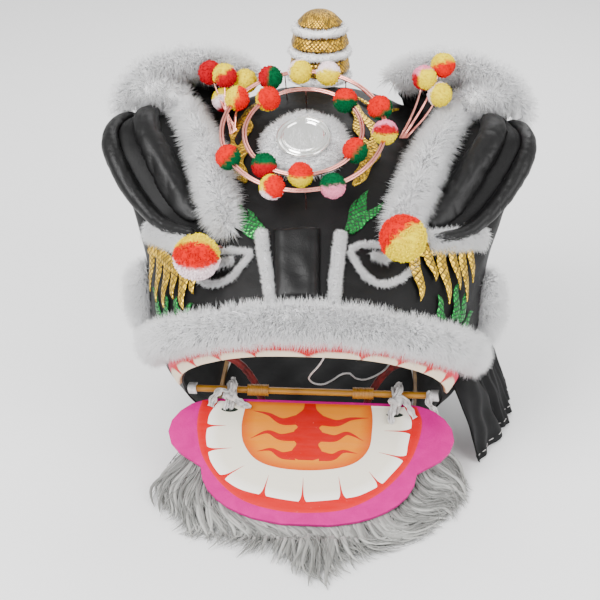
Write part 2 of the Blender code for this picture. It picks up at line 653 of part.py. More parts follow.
def build_ring(name, ring):
    """A wire ring threaded with pompoms, held above the forehead on short wire legs."""
    centre, axes = forehead_frame()
    middle = centre + axes[:, 2] * ring["lift"]
    radius = ring["radius"]

    def spoke(degrees):
        turn = np.radians(degrees)
        return np.cos(turn)[..., None] * axes[:, 0] + np.sin(turn)[..., None] * axes[:, 1]

    path = middle + radius * spoke(np.arange(0, 360, 5.0))
    beads = [(radius * math.radians(p), POMPOM_RADIUS) for p in ring["pompoms"]]
    centres, radii = swollen(path, RING_WIRE / 2, beads)
    body = loft(name + "_body", tube_sections(centres, radii, 6, closed=True, up=axes[:, 2]),
                "pompom_yarn", closed=True)
    legs = []
    for p in ring["legs"]:
        way = spoke(np.array([float(p)]))[0] * radius
        t, a = slide(np.array([MIRROR_PLACE[0]]), np.array([MIRROR_PLACE[1]]), way[None])
        foot = shell(t, a, PAD_GAP)[0]
        leg = tube_sections([foot, middle + way], STEM_WIRE, 5, up=(1, 0, 0))
        legs.append(loft(f"{name}_leg_{p}", leg, "pompom_yarn"))
    return fuse(name, body, legs)


def ball(name, centre, radius, steps=8):
    """A plain ball of yarn."""
    polar = np.linspace(-math.pi / 2, math.pi / 2, 6)
    profile = [(radius * math.cos(p), radius * math.sin(p)) for p in polar]
    profile[0], profile[-1] = (0, -radius), (0, radius)
    return turned(name, profile, steps, "pompom_yarn", centre=centre)


def build_sprig(name, pompoms, side):
    """Pompoms bunched on one upright wire that stands on the shell."""
    pompoms = mirrored(pompoms, side)
    balls = [ball(f"{name}_{i}", place, POMPOM_RADIUS) for i, place in enumerate(pompoms)]
    foot = shell(7.2, 0.34 * side, STEM_WIRE + PAD_GAP)
    stem = smooth([foot, foot + np.array([0, 0, 0.02]), pompoms[0]], 5)
    routes = [stem] + [np.array([pompoms[0], place]) for place in pompoms[1:]]
    wires = [loft(f"{name}_wire_{i}", tube_sections(route, STEM_WIRE, 5, up=(0, 1, 0)), "pompom_yarn")
             for i, route in enumerate(routes)]
    return fuse(name, balls[0], balls[1:] + wires)


def build_big_pompom(word):
    """A large pompom in front of the cheek, carried by a bent wire from the shell."""
    centre, foot_place = BIG_POMPOMS[word]
    body = ball(f"big_pompom_{word}", centre, BIG_POMPOM_RADIUS, steps=10)
    foot = shell(*foot_place, STEM_WIRE + PAD_GAP)
    route = smooth([foot, shell(*foot_place, 0.014), (np.array(centre) + foot) / 2, centre], 6)
    wire = loft(f"big_wire_{word}", tube_sections(route, STEM_WIRE, 5, up=(0, 1, 0)), "pompom_yarn")
    return fuse(f"big_pompom_{word}", body, [wire])


def build_horn():
    """The horn, turned with a groove for each of its three rings of fur."""
    steps = 12
    bands = [
        # name of the fur ring, its height above the base, ring radius, fur radius
        ("horn_fur_base", 0.0080, 0.047, 0.0078),
        ("horn_fur_middle", 0.0500, 0.0455, 0.0076),
        ("horn_fur_top", 0.0870, 0.040, 0.0070),
    ]
    profile = [(0, 0.0)]
    for name, height, radius, fur in bands:
        seat = radius - fur - 2 * GAP
        profile += [(radius, height - fur - 0.003), (seat, height - fur), (seat, height + fur),
                    (radius + 0.001, height + fur + 0.003)]
    profile[1:3] = [(profile[2][0], 0.0)]
    profile = profile[:-1] + [(0.033, 0.098), (0.026, 0.108), (0.014, 0.1145), (0, 0.116)]
    crest = bare_shell(np.linspace(8, 11, 61), 0.0)
    under = crest[np.abs(crest[:, 1] - HORN_Y) < HORN_FOOT_RADIUS]
    centre = (HORN_X, HORN_Y, under[:, 2].max() + PAD_GAP / 2)
    turned("horn", profile, steps, "gold_sequin", centre=centre)
    for name, height, radius, fur in bands:
        turn = np.linspace(0, 2 * math.pi, steps, endpoint=False)
        lock = 1 - 0.10 * (np.arange(steps) % 2)
        path = np.stack([radius * np.cos(turn), radius * np.sin(turn), 0 * turn + height], axis=1)
        loft(name, tube_sections(path + centre, fur * lock, 6, closed=True), "white_fur", closed=True)


def on_board(x, r, h=0.0):
    """World points from x, r forward from the bar along the board and h square to the board."""
    x, r, h = np.broadcast_arrays(np.asarray(x, float), np.asarray(r, float), np.asarray(h, float))
    y = BAR_Y - r * math.cos(JAW_SLOPE) - h * math.sin(JAW_SLOPE)
    z = BAR_Z - r * math.sin(JAW_SLOPE) + h * math.cos(JAW_SLOPE)
    return np.stack([x, y, z], axis=-1)


def prism(name, outline, low, high, finish_name):
    """A flat solid on the board's axes from an outline of (x, r), between the heights low and high."""
    outline = np.asarray(outline, float)
    count = len(outline)
    points = np.vstack([on_board(outline[:, 0], outline[:, 1], low),
                        on_board(outline[:, 0], outline[:, 1], high)])
    faces = [tuple(range(count)), tuple(range(2 * count - 1, count - 1, -1))]
    faces += [(m, (m + 1) % count, count + (m + 1) % count, count + m) for m in range(count)]
    return finish(name, points, faces, finish_name)


def build_jaw():
    """The jaw board with its slots, the bar, its wrapped spacers and the ties that lash them."""
    half = smooth(BOARD_OUTLINE, 18)
    outline = np.vstack([half, (half * [-1, 1])[::-1]])
    board = prism("jaw_board", outline, BOARD_TOP - BOARD_THICKNESS, BOARD_TOP, "pink_board")
    turn = np.linspace(0, 2 * math.pi, 10, endpoint=False)
    for side in (1, -1):
        lens = np.stack([side * SLOT_X + SLOT_HALF_WIDTH * np.cos(turn),
                         SLOT_R + SLOT_HALF_LENGTH * np.sin(turn)], axis=1)
        cutter = prism("slot_cutter", lens, BOARD_TOP - 0.02, BOARD_TOP + 0.01, "pink_board")
        cut = board.modifiers.new("slot", "BOOLEAN")
        cut.operation = "DIFFERENCE"
        cut.object = cutter
        cutter.hide_render = True
        cutter.display_type = "WIRE"
    bar = np.array([(-BAR_HALF_LENGTH, BAR_Y, BAR_Z), (BAR_HALF_LENGTH, BAR_Y, BAR_Z)])
    bar = bar[0] + (bar[1] - bar[0]) * np.linspace(0, 1, 3)[:, None]
    loft("bamboo_bar", tube_sections(bar, BAR_RADIUS, 10), "bamboo")
    for word, middle in (("left", -0.088), ("right", 0.080)):
        sleeve(f"bar_wrap_{word}", middle - 0.017, middle + 0.017, BAR_RADIUS + GAP, 0.0095, "bamboo")
    for side, word in ((1, "right"), (-1, "left")):
        down = SLOT_R - 0.0012
        loop = smooth_loop([(-0.0087, 0.001), (-0.003, 0.0088), (0.016, 0.004), (down, -0.004),
                            (down, -0.0152), (0.014, -0.0182), (-0.006, -0.0135)], 13)
        path = on_board(np.full(len(loop), side * SLOT_X), loop[:, 0], loop[:, 1])
        loft(f"tie_{word}", tube_sections(path, 0.0022, 5, closed=True, up=(1, 0, 0)),
             "white_cloth", closed=True)
        start, end = BAR_HALF_LENGTH - 0.012, BAR_HALF_LENGTH + 0.0042
        x0, x1 = sorted((side * start, side * end))
        sleeve(f"bar_loop_{word}", x0, x1, BAR_RADIUS + GAP, 0.0090, "white_cloth")


def smooth_loop(points, count):
    """count points along a closed Catmull-Rom curve."""
    p = np.asarray(points, float)
    around = np.vstack([p, p, p])
    curve = smooth(around, 3 * 8 * len(p) + 1)
    third = curve[8 * len(p) : 16 * len(p) + 1]
    run = np.concatenate([[0], np.cumsum(np.linalg.norm(np.diff(third, axis=0), axis=1))])
    at = np.linspace(0, run[-1], count, endpoint=False)
    return np.stack([np.interp(at, run, third[:, k]) for k in range(p.shape[1])], axis=1)


def sleeve(name, x0, x1, inner, outer, finish_name):
    """A hollow sleeve round the bar's axis from x0 to x1."""
    turn = np.linspace(0, 2 * math.pi, 10, endpoint=False)
    corners = ((x0, inner), (x1, inner), (x1, outer), (x0, outer))
    sections = [[(x, BAR_Y + r * math.cos(u), BAR_Z + r * math.sin(u)) for x, r in corners]
                for u in turn]
    return loft(name, sections, finish_name, closed=True)


def build_beard():
    """Long locks from under the jaw board out over the floor, grown from one backing."""
    locks, rows, floor = 15, 4, 0.0012
    count = 2 * locks + 1
    x, r, reach, sweep = smooth(BEARD_RIM, count).T
    under = (BOARD_TOP - BOARD_THICKNESS) / math.cos(JAW_SLOPE)
    root = on_board(x, r, BOARD_TOP - BOARD_THICKNESS - 0.0090)
    middle = np.array([0.0, on_board(0, 0.06)[1]])
    outward = unit(root[:, :2] - middle)
    tip = np.arange(count) % 2 == 1
    length = reach * np.where(tip, 1.0, 0.78)
    v = np.linspace(0, 1, rows)
    plan = root[:, None, :2] + outward[:, None] * (length[:, None] * v)[..., None]
    plan[..., 0] += sweep[:, None] * v**2
    forward = np.maximum(plan[..., 1], on_board(0, 0.258)[1]) - BAR_Y
    ceiling = BAR_Z + under + forward * math.tan(JAW_SLOPE) - 2 * GAP
    near = plan[..., 1] > on_board(0, 0.270)[1]
    room = np.where(near, np.maximum((ceiling - floor) / 2, 0.0015), 1.0)
    half = np.minimum((0.0080 - 0.0055 * v) * np.where(tip, 1.0, 0.62)[:, None], room)
    drop = (1 - v) ** 2
    z = floor + half + np.maximum(root[:, 2:] - floor - half, 0) * drop
    z = np.where(near, np.minimum(z, ceiling - half), z)
    top = np.dstack([plan, z + half])
    low = np.dstack([plan, z - half])
    loft("beard", np.concatenate([top, low[:, ::-1]], axis=1), "grey_hair", sheet=True)


def build_strut(side, word):
    """One red wrapped strut inside the mouth."""
    route = smooth(mirrored(STRUT_ROUTE, side), 8)
    loft(f"mouth_strut_{word}", tube_sections(route, STRUT_RADIUS, 7, up=(0, 1, 0)), "red_tape")


def build_drape():
    """The black neck cloth that hangs from the right side of the shell to the floor."""
    count, rows = 17, 4
    t = np.linspace(DRAPE_FROM, DRAPE_TO, count)
    top = shell(t, np.full(count, DRAPE_A), CLOTH / 2 + 0.0020)
    outward = unit((shell(t, np.full(count, DRAPE_A), 0.01) - bare_shell(t, DRAPE_A)) * [1, 1, 0])
    wave = 0.009 * np.cos(np.linspace(0, 2 * math.pi * DRAPE_FOLDS, count))
    v = np.linspace(0, 1, rows)
    flare = np.linspace(*DRAPE_FLARE, count)[:, None]
    out = flare * v**0.8 + wave[:, None] * v
    surface = top[:, None] + outward[:, None] * out[..., None]
    surface[..., 2] = top[:, None, 2] * (1 - v) + 0.0015 * v
    half = unit(np.cross(np.gradient(surface, axis=1), np.gradient(surface, axis=0))) * CLOTH / 2
    sections = np.concatenate([surface + half, (surface - half)[:, ::-1]], axis=1)
    loft("neck_drape", sections, "black_satin", sheet=True)


def build_floor_cloth():
    """The black neck cloth that lies in folds on the floor inside the hoop."""
    across, along = 8, 6
    y = np.linspace(*FLOOR_CLOTH_Y, along)
    reach = HOOP_HALF_WIDTH - 0.002 - HOOP_BAR / 2 - GAP - FLOOR_CLOTH_ROUNDING * (y - HOOP_CENTRE_Y) ** 2
    xx = np.linspace(-1, 1, across)[:, None] * reach
    yy = np.broadcast_to(y, xx.shape)
    fold = 0.004 * (1 + np.sin(xx * 55 + yy * 20)) * np.sin(math.pi * np.linspace(0, 1, along))
    z = 0.0012 + CLOTH / 2 + fold
    surface = np.dstack([xx, yy, z])
    half = np.array([0, 0, CLOTH / 2])
    sections = np.concatenate([surface + half, (surface - half)[:, ::-1]], axis=1)
    loft("neck_cloth", sections, "black_satin", sheet=True)


def build_string():
    """The mouth string, a round cord on a smooth route."""
    data = bpy.data.curves.new("pull_string", "CURVE")
    data.dimensions = "3D"
    data.bevel_depth = STRING_RADIUS
    data.bevel_resolution = 2
    data.use_fill_caps = True
    route = smooth(STRING_ROUTE, 30)
    spline = data.splines.new("POLY")
    spline.points.add(len(route) - 1)
    for point, place in zip(spline.points, route):
        point.co = (*place, 1.0)
    data.materials.append(material("white_cloth"))
    bpy.context.scene.collection.objects.link(bpy.data.objects.new("pull_string", data))


def solid_of(obj):
    """Points and triangles of an object as it stands."""
    mesh = obj.evaluated_get(bpy.context.evaluated_depsgraph_get()).to_mesh()
    mesh.calc_loop_triangles()
    points = np.empty(len(mesh.vertices) * 3)
    mesh.vertices.foreach_get("co", points)
    corners = np.empty(len(mesh.loop_triangles) * 3, np.int32)
    mesh.loop_triangles.foreach_get("vertices", corners)
    return points.reshape(-1, 3) + np.array(obj.location), corners.reshape(-1, 3)


def tree_of(points, corners):
    """A search tree of triangles."""
    return BVHTree.FromPolygons(points.tolist(), corners.tolist())


def is_clear(points, corners, others):
    """Whether a solid crosses none of the others and lies SEAT or more from each."""
    tree = tree_of(points, corners)
    for other_points, other_tree in others:
        if tree.overlap(other_tree):
            return False
        if any(other_tree.find_nearest(p, SEAT)[0] for p in points):
            return False
        if any(tree.find_nearest(p, SEAT)[0] for p in other_points):
            return False
    return True


def seat(solids, names, way):
    """Moves pieces together along a direction until they lie SEAT from what they first meet."""
    way = unit(np.asarray(way, float))
    moving = [solids[name] for name in names]
    reach = np.array([SEAT_MOST + SEAT] * 3)
    low = np.min([points.min(axis=0) for points, _ in moving], axis=0) - reach
    high = np.max([points.max(axis=0) for points, _ in moving], axis=0) + reach
    others = []
    for name, (points, corners) in solids.items():
        inside = ((points > low) & (points < high)).all(axis=1)
        crosses = (points.max(axis=0) > low).all() and (points.min(axis=0) < high).all()
        if name not in names and crosses:
            others.append((points[inside], tree_of(points, corners)))
    travel = 0.0
    while travel < SEAT_MOST:
        step = way * (travel + SEAT_STEP)
        if not all(is_clear(points + step, corners, others) for points, corners in moving):
            break
        travel += SEAT_STEP
    for name in names:
        solids[name] = (solids[name][0] + way * travel, solids[name][1])
        bpy.data.objects[name].location = way * travel


def seat_pieces():
    """Seats each piece on what carries it."""
    bpy.context.view_layer.update()
    solids = {obj.name: solid_of(obj) for obj in bpy.data.objects if not obj.hide_render}
    middle = np.array([0.0, MIDDLE_Y, MIDDLE_Z])
    for name in SEATED_INWARD:
        for side in ("_left", "_right") if name.endswith("*") else ("",):
            piece = name.rstrip("*") + side
            centre = solids[piece][0].mean(axis=0)
            seat(solids, [piece], middle - centre)
    seat(solids, ["mirror"], -forehead_frame()[1][:, 2])
    for word, side in (("left", -1), ("right", 1)):
        seat(solids, [f"bar_loop_{word}"], (side, 0, 0))
        seat(solids, [f"tie_{word}"], (0, -math.cos(JAW_SLOPE), -math.sin(JAW_SLOPE)))
        seat(solids, [f"mouth_strut_{word}"], (0, 0, -1))
        seat(solids, [f"ear_{word}", f"ear_fur_{word}"], (-0.3 * side, 0, -1))
    seat(solids, ["horn", "horn_fur_base", "horn_fur_middle", "horn_fur_top"], (0, 0, -1))
    seat(solids, ["neck_cloth"], (0, -1, 0))


def place_pieces():
    """Hangs the jaw's pieces on an empty on the bar's axis, and all on one that sets the origin."""
    frame = bpy.data.objects.new("lion_head", None)
    frame.location = (0, -ORIGIN_Y, 0)
    pivot = bpy.data.objects.new("jaw_pivot", None)
    pivot.location = (0, BAR_Y, BAR_Z)
    pivot.parent = frame
    pieces = [obj for obj in bpy.data.objects if obj not in (frame, pivot)]
    for empty in (frame, pivot):
        bpy.context.scene.collection.objects.link(empty)
    for piece in pieces:
        in_jaw = piece.name.startswith(JAW_PIECES)
        piece.parent = pivot if in_jaw else frame
        if in_jaw:
            piece.location -= pivot.location


def main():
    """Builds every piece."""
    clear_scene()
    build_shell()
    build_hoop()
    mat("nose_bridge", NOSE_PATH, 0.034, 0.016, "black_satin", count=8, columns=6, lock=0.0, end=0.8,
        base=PAD_GAP)
    build_mouth()
    build_mirror()
    build_ring("pompom_ring_inner", INNER_RING)
    build_ring("pompom_ring_outer", OUTER_RING)
    build_horn()
    build_jaw()
    build_beard()
    build_drape()
    build_floor_cloth()
    build_string()
    for side, word in ((1, "right"), (-1, "left")):
        build_face(side, word)
        build_strut(side, word)
        build_big_pompom(word)
    build_sprig("pompom_sprig_right", SPRIG_POMPOMS, 1)
    build_sprig("pompom_sprig_left", LEFT_SPRIG_POMPOMS, -1)
    seat_pieces()
    place_pieces()


main()
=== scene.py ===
"""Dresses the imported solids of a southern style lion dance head: black cloth over a light frame, with
white fur, sequin flames, pompoms on wires, a painted jaw board and a grey beard.

Metres, +Z up, the face towards -Y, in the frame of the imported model."""

import logging
import math
from dataclasses import dataclass, field
from enum import Enum
from typing import Any

import bmesh
import bpy
import numpy as np
from mathutils import Matrix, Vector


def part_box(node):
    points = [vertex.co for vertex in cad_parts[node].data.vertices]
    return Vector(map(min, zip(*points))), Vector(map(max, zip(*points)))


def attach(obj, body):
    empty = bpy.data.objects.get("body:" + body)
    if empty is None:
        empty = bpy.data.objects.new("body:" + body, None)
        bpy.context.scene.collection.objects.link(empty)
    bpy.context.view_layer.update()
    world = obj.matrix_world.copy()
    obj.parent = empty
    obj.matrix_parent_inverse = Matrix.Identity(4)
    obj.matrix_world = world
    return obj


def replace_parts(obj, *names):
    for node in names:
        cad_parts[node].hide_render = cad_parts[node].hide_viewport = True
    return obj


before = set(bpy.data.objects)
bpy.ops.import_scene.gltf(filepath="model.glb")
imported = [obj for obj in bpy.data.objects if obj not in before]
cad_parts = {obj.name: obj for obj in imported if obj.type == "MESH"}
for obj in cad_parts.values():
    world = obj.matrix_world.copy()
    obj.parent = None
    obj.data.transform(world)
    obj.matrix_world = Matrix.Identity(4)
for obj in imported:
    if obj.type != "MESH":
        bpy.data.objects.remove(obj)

Array = np.ndarray
LOG = logging.getLogger("lion_head")
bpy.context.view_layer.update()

# The shell's own coordinates lie this far behind the frame's.
SHIFT = np.array([0.0, 0.1156, 0.0])

# Driving sizes, as in the solids.
WALL = 0.003
HOOP_HALF_WIDTH = 0.175
HOOP_HALF_LENGTH = 0.200
HOOP_CENTRE_Y = 0.050
FOOT_Z = 0.0124
BAR_Y = -0.162 + SHIFT[1]
BAR_Z = 0.113
BAR_RADIUS = 0.0055
BAR_HALF_LENGTH = 0.196
JAW_SLOPE = math.radians(21.5)
BOARD_TOP = -0.0065

STATIONS = np.array([
    # crest_y, crest_z, side_x, side_y, side_z, foot_y
    (-0.306, 0.262, 0.206, -0.168, 0.116, -0.095),
    (-0.328, 0.332, 0.248, -0.132, 0.168, -0.080),
    (-0.312, 0.358, 0.254, -0.118, 0.200, -0.062),
    (-0.270, 0.396, 0.256, -0.104, 0.236, -0.042),
    (-0.228, 0.430, 0.254, -0.088, 0.268, -0.022),
    (-0.180, 0.460, 0.248, -0.066, 0.300, 0.000),
    (-0.122, 0.491, 0.238, -0.038, 0.328, 0.028),
    (-0.066, 0.517, 0.227, -0.006, 0.346, 0.058),
    (0.000, 0.538, 0.215, 0.038, 0.354, 0.096),
    (0.070, 0.541, 0.202, 0.088, 0.346, 0.138),
    (0.142, 0.512, 0.187, 0.146, 0.318, 0.182),
    (0.200, 0.455, 0.170, 0.204, 0.278, 0.218),
])

LIP_PATH = [(0.24, 0.0), (0.24, 0.2), (0.22, 0.4), (0.20, 0.6), (0.17, 0.8), (0.16, 0.96)]
MIRROR_PLACE = (6.55, -0.03)
EAR_BASE = [(8.9, 0.40), (8.9, 0.52), (8.75, 0.64), (8.2, 0.80)]
EAR_RIM = [(0.112, 0.072, 0.556), (0.150, 0.062, 0.580), (0.195, 0.052, 0.592),
           (0.255, 0.042, 0.584), (0.300, 0.036, 0.554), (0.314, 0.028, 0.512)]

STRING_ROUTE = [
    (0.022, -0.288, 0.258), (0.021, -0.270, 0.240), (0.012, -0.235, 0.205), (-0.002, -0.195, 0.165),
    (-0.006, -0.165, 0.138), (0.002, -0.145, 0.118), (0.016, -0.136, 0.112), (0.030, -0.132, 0.118),
    (0.044, -0.130, 0.128), (0.058, -0.130, 0.130), (0.066, -0.130, 0.122), (0.080, -0.128, 0.118),
    (0.096, -0.124, 0.122), (0.112, -0.118, 0.130), (0.1208, -0.110, 0.1374),
]
STRING_RADIUS = 0.0015
STRUT_ROUTE = [(0.196, -0.112, 0.158), (0.160, -0.112, 0.150), (0.120, -0.110, 0.128),
               (0.090, -0.118, 0.080), (0.072, -0.143, 0.0155)]

SIDES = {"right": 1, "left": -1}

# The camera: where it stands, and how it is turned.
CAMERA_PLACE = (0.0935, -1.9153, 1.2740)
CAMERA_RISE = math.radians(28)
CAMERA_TURN = math.radians(3.5)


class Body(Enum):
    """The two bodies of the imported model."""

    HEAD = "head"
    JAW = "jaw"


def linear(colour: str) -> tuple[float, float, float]:
    """The linear red, green and blue of an sRGB hex colour."""
    parts = [int(colour[i : i + 2], 16) / 255 for i in (1, 3, 5)]
    return tuple(p / 12.92 if p <= 0.04045 else ((p + 0.055) / 1.055) ** 2.4 for p in parts)


def unit(v: Array) -> Array:
    """Rows of v scaled to length 1."""
    return v / np.maximum(np.linalg.norm(v, axis=-1, keepdims=True), 1e-12)


def smooth(points: Any, count: int) -> Array:
    """Points along a Catmull-Rom curve, evenly spaced by length.

    Each span is the cubic whose slope at a point is half the way between that point's neighbours.

    Args:
        points: the points that the curve passes through.
        count: how many points to return.

    Returns:
        count rows on the curve.
    """
    p = np.asarray(points, float)
    ends = np.vstack([2 * p[0] - p[1], p, 2 * p[-1] - p[-2]])
    place = np.linspace(0, len(p) - 1, 24 * len(p))
    i = np.minimum(place.astype(int), len(p) - 2)
    u = (place - i)[:, None]
    a, b, c, d = ends[i], ends[i + 1], ends[i + 2], ends[i + 3]
    fine = 0.5 * (2 * b + (c - a) * u + (2 * a - 5 * b + 4 * c - d) * u**2 + (3 * b - a - 3 * c + d) * u**3)
    run = np.concatenate([[0], np.cumsum(np.linalg.norm(np.diff(fine, axis=0), axis=1))])
    at = np.linspace(0, run[-1], count)
    return np.stack([np.interp(at, run, fine[:, k]) for k in range(p.shape[1])], axis=1)


def ripple(points: Array, length: float, seed: int) -> Array:
    """A smooth wandering value from -1 to 1 at each point.

    It is the mean of seven sine waves of about the given wavelength that run in fixed random directions.

    Args:
        points: rows of x, y, z.
        length: the waves' length in metres.
        seed: picks the directions.

    Returns:
        One value for each point.
    """
    random = np.random.default_rng(seed)
    ways = unit(random.normal(size=(7, 3))) * (2 * math.pi / length) * random.uniform(0.7, 1.5, (7, 1))
    return np.sin(points @ ways.T + random.uniform(0, 6.28, 7)).mean(axis=-1) * 1.8


class HeadSurface:
    """The outside of the head as a function of t, which counts the stations from the mouth to the neck,
    and a, which is 0 at the crest, 1 where the arch is widest and 2 at the foot, negative on the left."""

    EYE = (7.0, 0.77, 2.3, 0.20, 0.132)
    EYE_LOOK = np.array([0.70, -0.12, 0.70])
    FULLNESS = 0.82

    @staticmethod
    def hoop_x(y: Array) -> Array:
        """Half width of the base hoop at y, a rounded rectangle."""
        t = np.clip(np.abs(y - HOOP_CENTRE_Y) / HOOP_HALF_LENGTH, 0, 0.999)
        return HOOP_HALF_WIDTH * (1 - t**3.33) ** 0.3

    @staticmethod
    def station(t: Array) -> Array:
        """The stations' six numbers at fractional places t, by Catmull-Rom interpolation."""
        padded = np.vstack([2 * STATIONS[0] - STATIONS[1], STATIONS, 2 * STATIONS[-1] - STATIONS[-2]])
        t = np.clip(t, 0, len(STATIONS) - 1)
        i = np.minimum(t.astype(int), len(STATIONS) - 2)
        u = (t - i)[..., None]
        a, b, c, d = (padded[i + k] for k in range(4))
        return 0.5 * (2 * b + (c - a) * u + (2 * a - 5 * b + 4 * c - d) * u**2
                      + (3 * b - a - 3 * c + d) * u**3)

    def at(self, t: Any, a: Any) -> Array:
        """Points of the surface.

        Each station is a superellipse arch from crest to side and a parabola from side to foot, and a
        bell curve over t and a pushes the eye mounds out.

        Args:
            t: places along the stations.
            a: places round the arch.

        Returns:
            Points in the frame, with x, y and z last.
        """
        t, a = np.broadcast_arrays(np.asarray(t, float), np.asarray(a, float))
        side, a = np.where(a < 0, -1.0, 1.0), np.abs(a)
        s = self.station(t)
        upper = np.clip(a, 0, 1) * math.pi / 2
        rise = np.cos(upper).clip(0) ** self.FULLNESS
        lower = np.clip(a - 1, 0, 1)
        foot_y = s[..., 5]
        x = s[..., 2] * np.sin(upper) ** self.FULLNESS
        x = x + (self.hoop_x(foot_y) - s[..., 2]) * lower**2
        y = s[..., 3] + (s[..., 0] - s[..., 3]) * rise + (foot_y - s[..., 3]) * lower
        z = s[..., 4] + (s[..., 1] - s[..., 4]) * rise + (FOOT_Z - s[..., 4]) * lower
        eye_t, eye_a, reach_t, reach_a, height = self.EYE
        away = ((t - eye_t) / reach_t) ** 2 + ((a - eye_a) / reach_a) ** 2
        raised = np.stack([x, y, z], axis=-1) + (height * np.exp(-away))[..., None] * self.EYE_LOOK
        return raised * np.stack([side, np.ones_like(side), np.ones_like(side)], axis=-1) + SHIFT

    def normal(self, t: Any, a: Any) -> Array:
        """The outward normal, square to the surface's two slopes."""
        t, a = np.broadcast_arrays(np.asarray(t, float), np.asarray(a, float))
        along = self.at(np.clip(t + 0.02, 0, 11), a) - self.at(np.clip(t - 0.02, 0, 11), a)
        round_it = self.at(t, np.clip(a + 0.02, -2, 2)) - self.at(t, np.clip(a - 0.02, -2, 2))
        return -unit(np.cross(along, round_it))

    def lifted(self, t: Any, a: Any, lift: Any) -> Array:
        """Points lifted off the surface along its normal."""
        return self.at(t, a) + self.normal(t, a) * np.asarray(lift, float)[..., None]

    def slide(self, t: Array, a: Array, shift: Array) -> tuple[Array, Array]:
        """Moves places over the surface.

        Args:
            t: places along the stations.
            a: places round the arch.
            shift: the way to go from each, in metres.

        Returns:
            The t and a whose points lie nearest to the shifted ones, by Newton steps.
        """
        t, a = (np.array(v, float) for v in np.broadcast_arrays(t, a))
        target = self.at(t, a) + shift
        step = 0.01
        for _ in range(5):
            by_t = (self.at(t + step, a) - self.at(t - step, a)) / (2 * step)
            by_a = (self.at(t, a + step) - self.at(t, a - step)) / (2 * step)
            error = target - self.at(t, a)
            tt, ta, aa = (by_t * by_t).sum(-1), (by_t * by_a).sum(-1), (by_a * by_a).sum(-1)
            et, ea = (by_t * error).sum(-1), (by_a * error).sum(-1)
            det = np.maximum(tt * aa - ta * ta, 1e-12)
            t = np.clip(t + np.clip((et * aa - ea * ta) / det, -0.5, 0.5), 0.02, 10.98)
            a = np.clip(a + np.clip((ea * tt - et * ta) / det, -0.1, 0.1), -1.98, 1.98)
        return t, a

    def band(self, route: list, half: Any, count: int, columns: int, side: int = 1) -> tuple:
        """Places in a band that follows a route over the surface.

        Args:
            route: (t, a) points of the middle line.
            half: half the band's width at each of its count places, or one value.
            count: places along it.
            columns: places across it, closer together near both edges.
            side: 1 on the right, -1 on the left.

        Returns:
            t, a and the place across from -1 to 1, as grids.
        """
        line = smooth(route, count)
        t, a = line[:, 0], line[:, 1] * side
        centre = self.at(t, a)
        across = np.cross(unit(np.gradient(centre, axis=0)), self.normal(t, a))
        c = -np.cos(np.linspace(0, math.pi, columns))
        width = np.broadcast_to(half, (count,))[:, None] * c
        tt, aa = self.slide(t[:, None] + 0 * c, a[:, None] + 0 * c, across[:, None] * width[..., None])
        return tt, aa, np.broadcast_to(c, tt.shape)


HEAD = HeadSurface()


def closed_band(top: Array, bottom: Array) -> Array:
    """Sections that run along a band's top and back along its bottom."""
    return np.concatenate([top, bottom[:, ::-1]], axis=1)


def tube(path: Array, radius: Any, sides: int, flat: float = 1.0, up: Any = (0, 0, 1),
         loop: bool = False) -> Array:
    """Sections of a tube: a circle or ellipse carried square to a path.

    Args:
        path: the centre line.
        radius: one radius, or one for each point.
        sides: corners of a section.
        flat: the ellipse's height over its width.
        up: the way that the height points, as near as it can.
        loop: whether the path closes.

    Returns:
        Sections as an array of path points by sides by 3.
    """
    if loop:
        way = unit(np.roll(path, -1, axis=0) - np.roll(path, 1, axis=0))
    else:
        way = unit(np.gradient(path, axis=0))
    across = unit(np.cross(way, np.asarray(up, float)))
    above = np.cross(across, way)
    turn = np.linspace(0, 2 * math.pi, sides, endpoint=False)
    radius = np.broadcast_to(np.asarray(radius, float), (len(path),))[:, None, None]
    ring = across[:, None] * np.cos(turn)[:, None] + above[:, None] * flat * np.sin(turn)[:, None]
    return path[:, None] + radius * ring


def grid_faces(rows: int, columns: int, loop: bool = False, ring: bool = True) -> Array:
    """Faces of four corners between neighbours in a grid of points.

    Args:
        rows: how many rows of points.
        columns: how many points in a row.
        loop: whether the last row joins the first.
        ring: whether a row's last point joins its first.

    Returns:
        Rows of four point numbers, row after row.
    """
    i, m = np.meshgrid(np.arange(rows - (not loop)), np.arange(columns - (not ring)), indexing="ij")
    j, o = (i + 1) % rows, (m + 1) % columns
    corners = [i * columns + m, i * columns + o, j * columns + o, j * columns + m]
    return np.stack(corners, axis=-1).reshape(-1, 4)


def halves(quads: Array) -> Array:
    """Two triangles for each face of four corners: all the first halves, then all the second ones."""
    return np.concatenate([quads[:, [0, 1, 2]], quads[:, [0, 2, 3]]])


def linked(name: str, data: Any) -> bpy.types.Object:
    """A new object for a mesh, curve, light or camera, in the scene."""
    obj = bpy.data.objects.new(name, data)
    bpy.context.scene.collection.objects.link(obj)
    return obj


def corners_of(node: str) -> tuple[Array, Array]:
    """The lowest and the highest corner of a solid's box."""
    low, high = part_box(node)
    return np.array(low), np.array(high)


def align(node: str, points: Array) -> Array:
    """The shift that brings the middle of the points' box onto the middle of a solid's box."""
    low, high = corners_of(node)
    flat = points.reshape(-1, 3)
    return (low + high - flat.min(axis=0) - flat.max(axis=0)) / 2


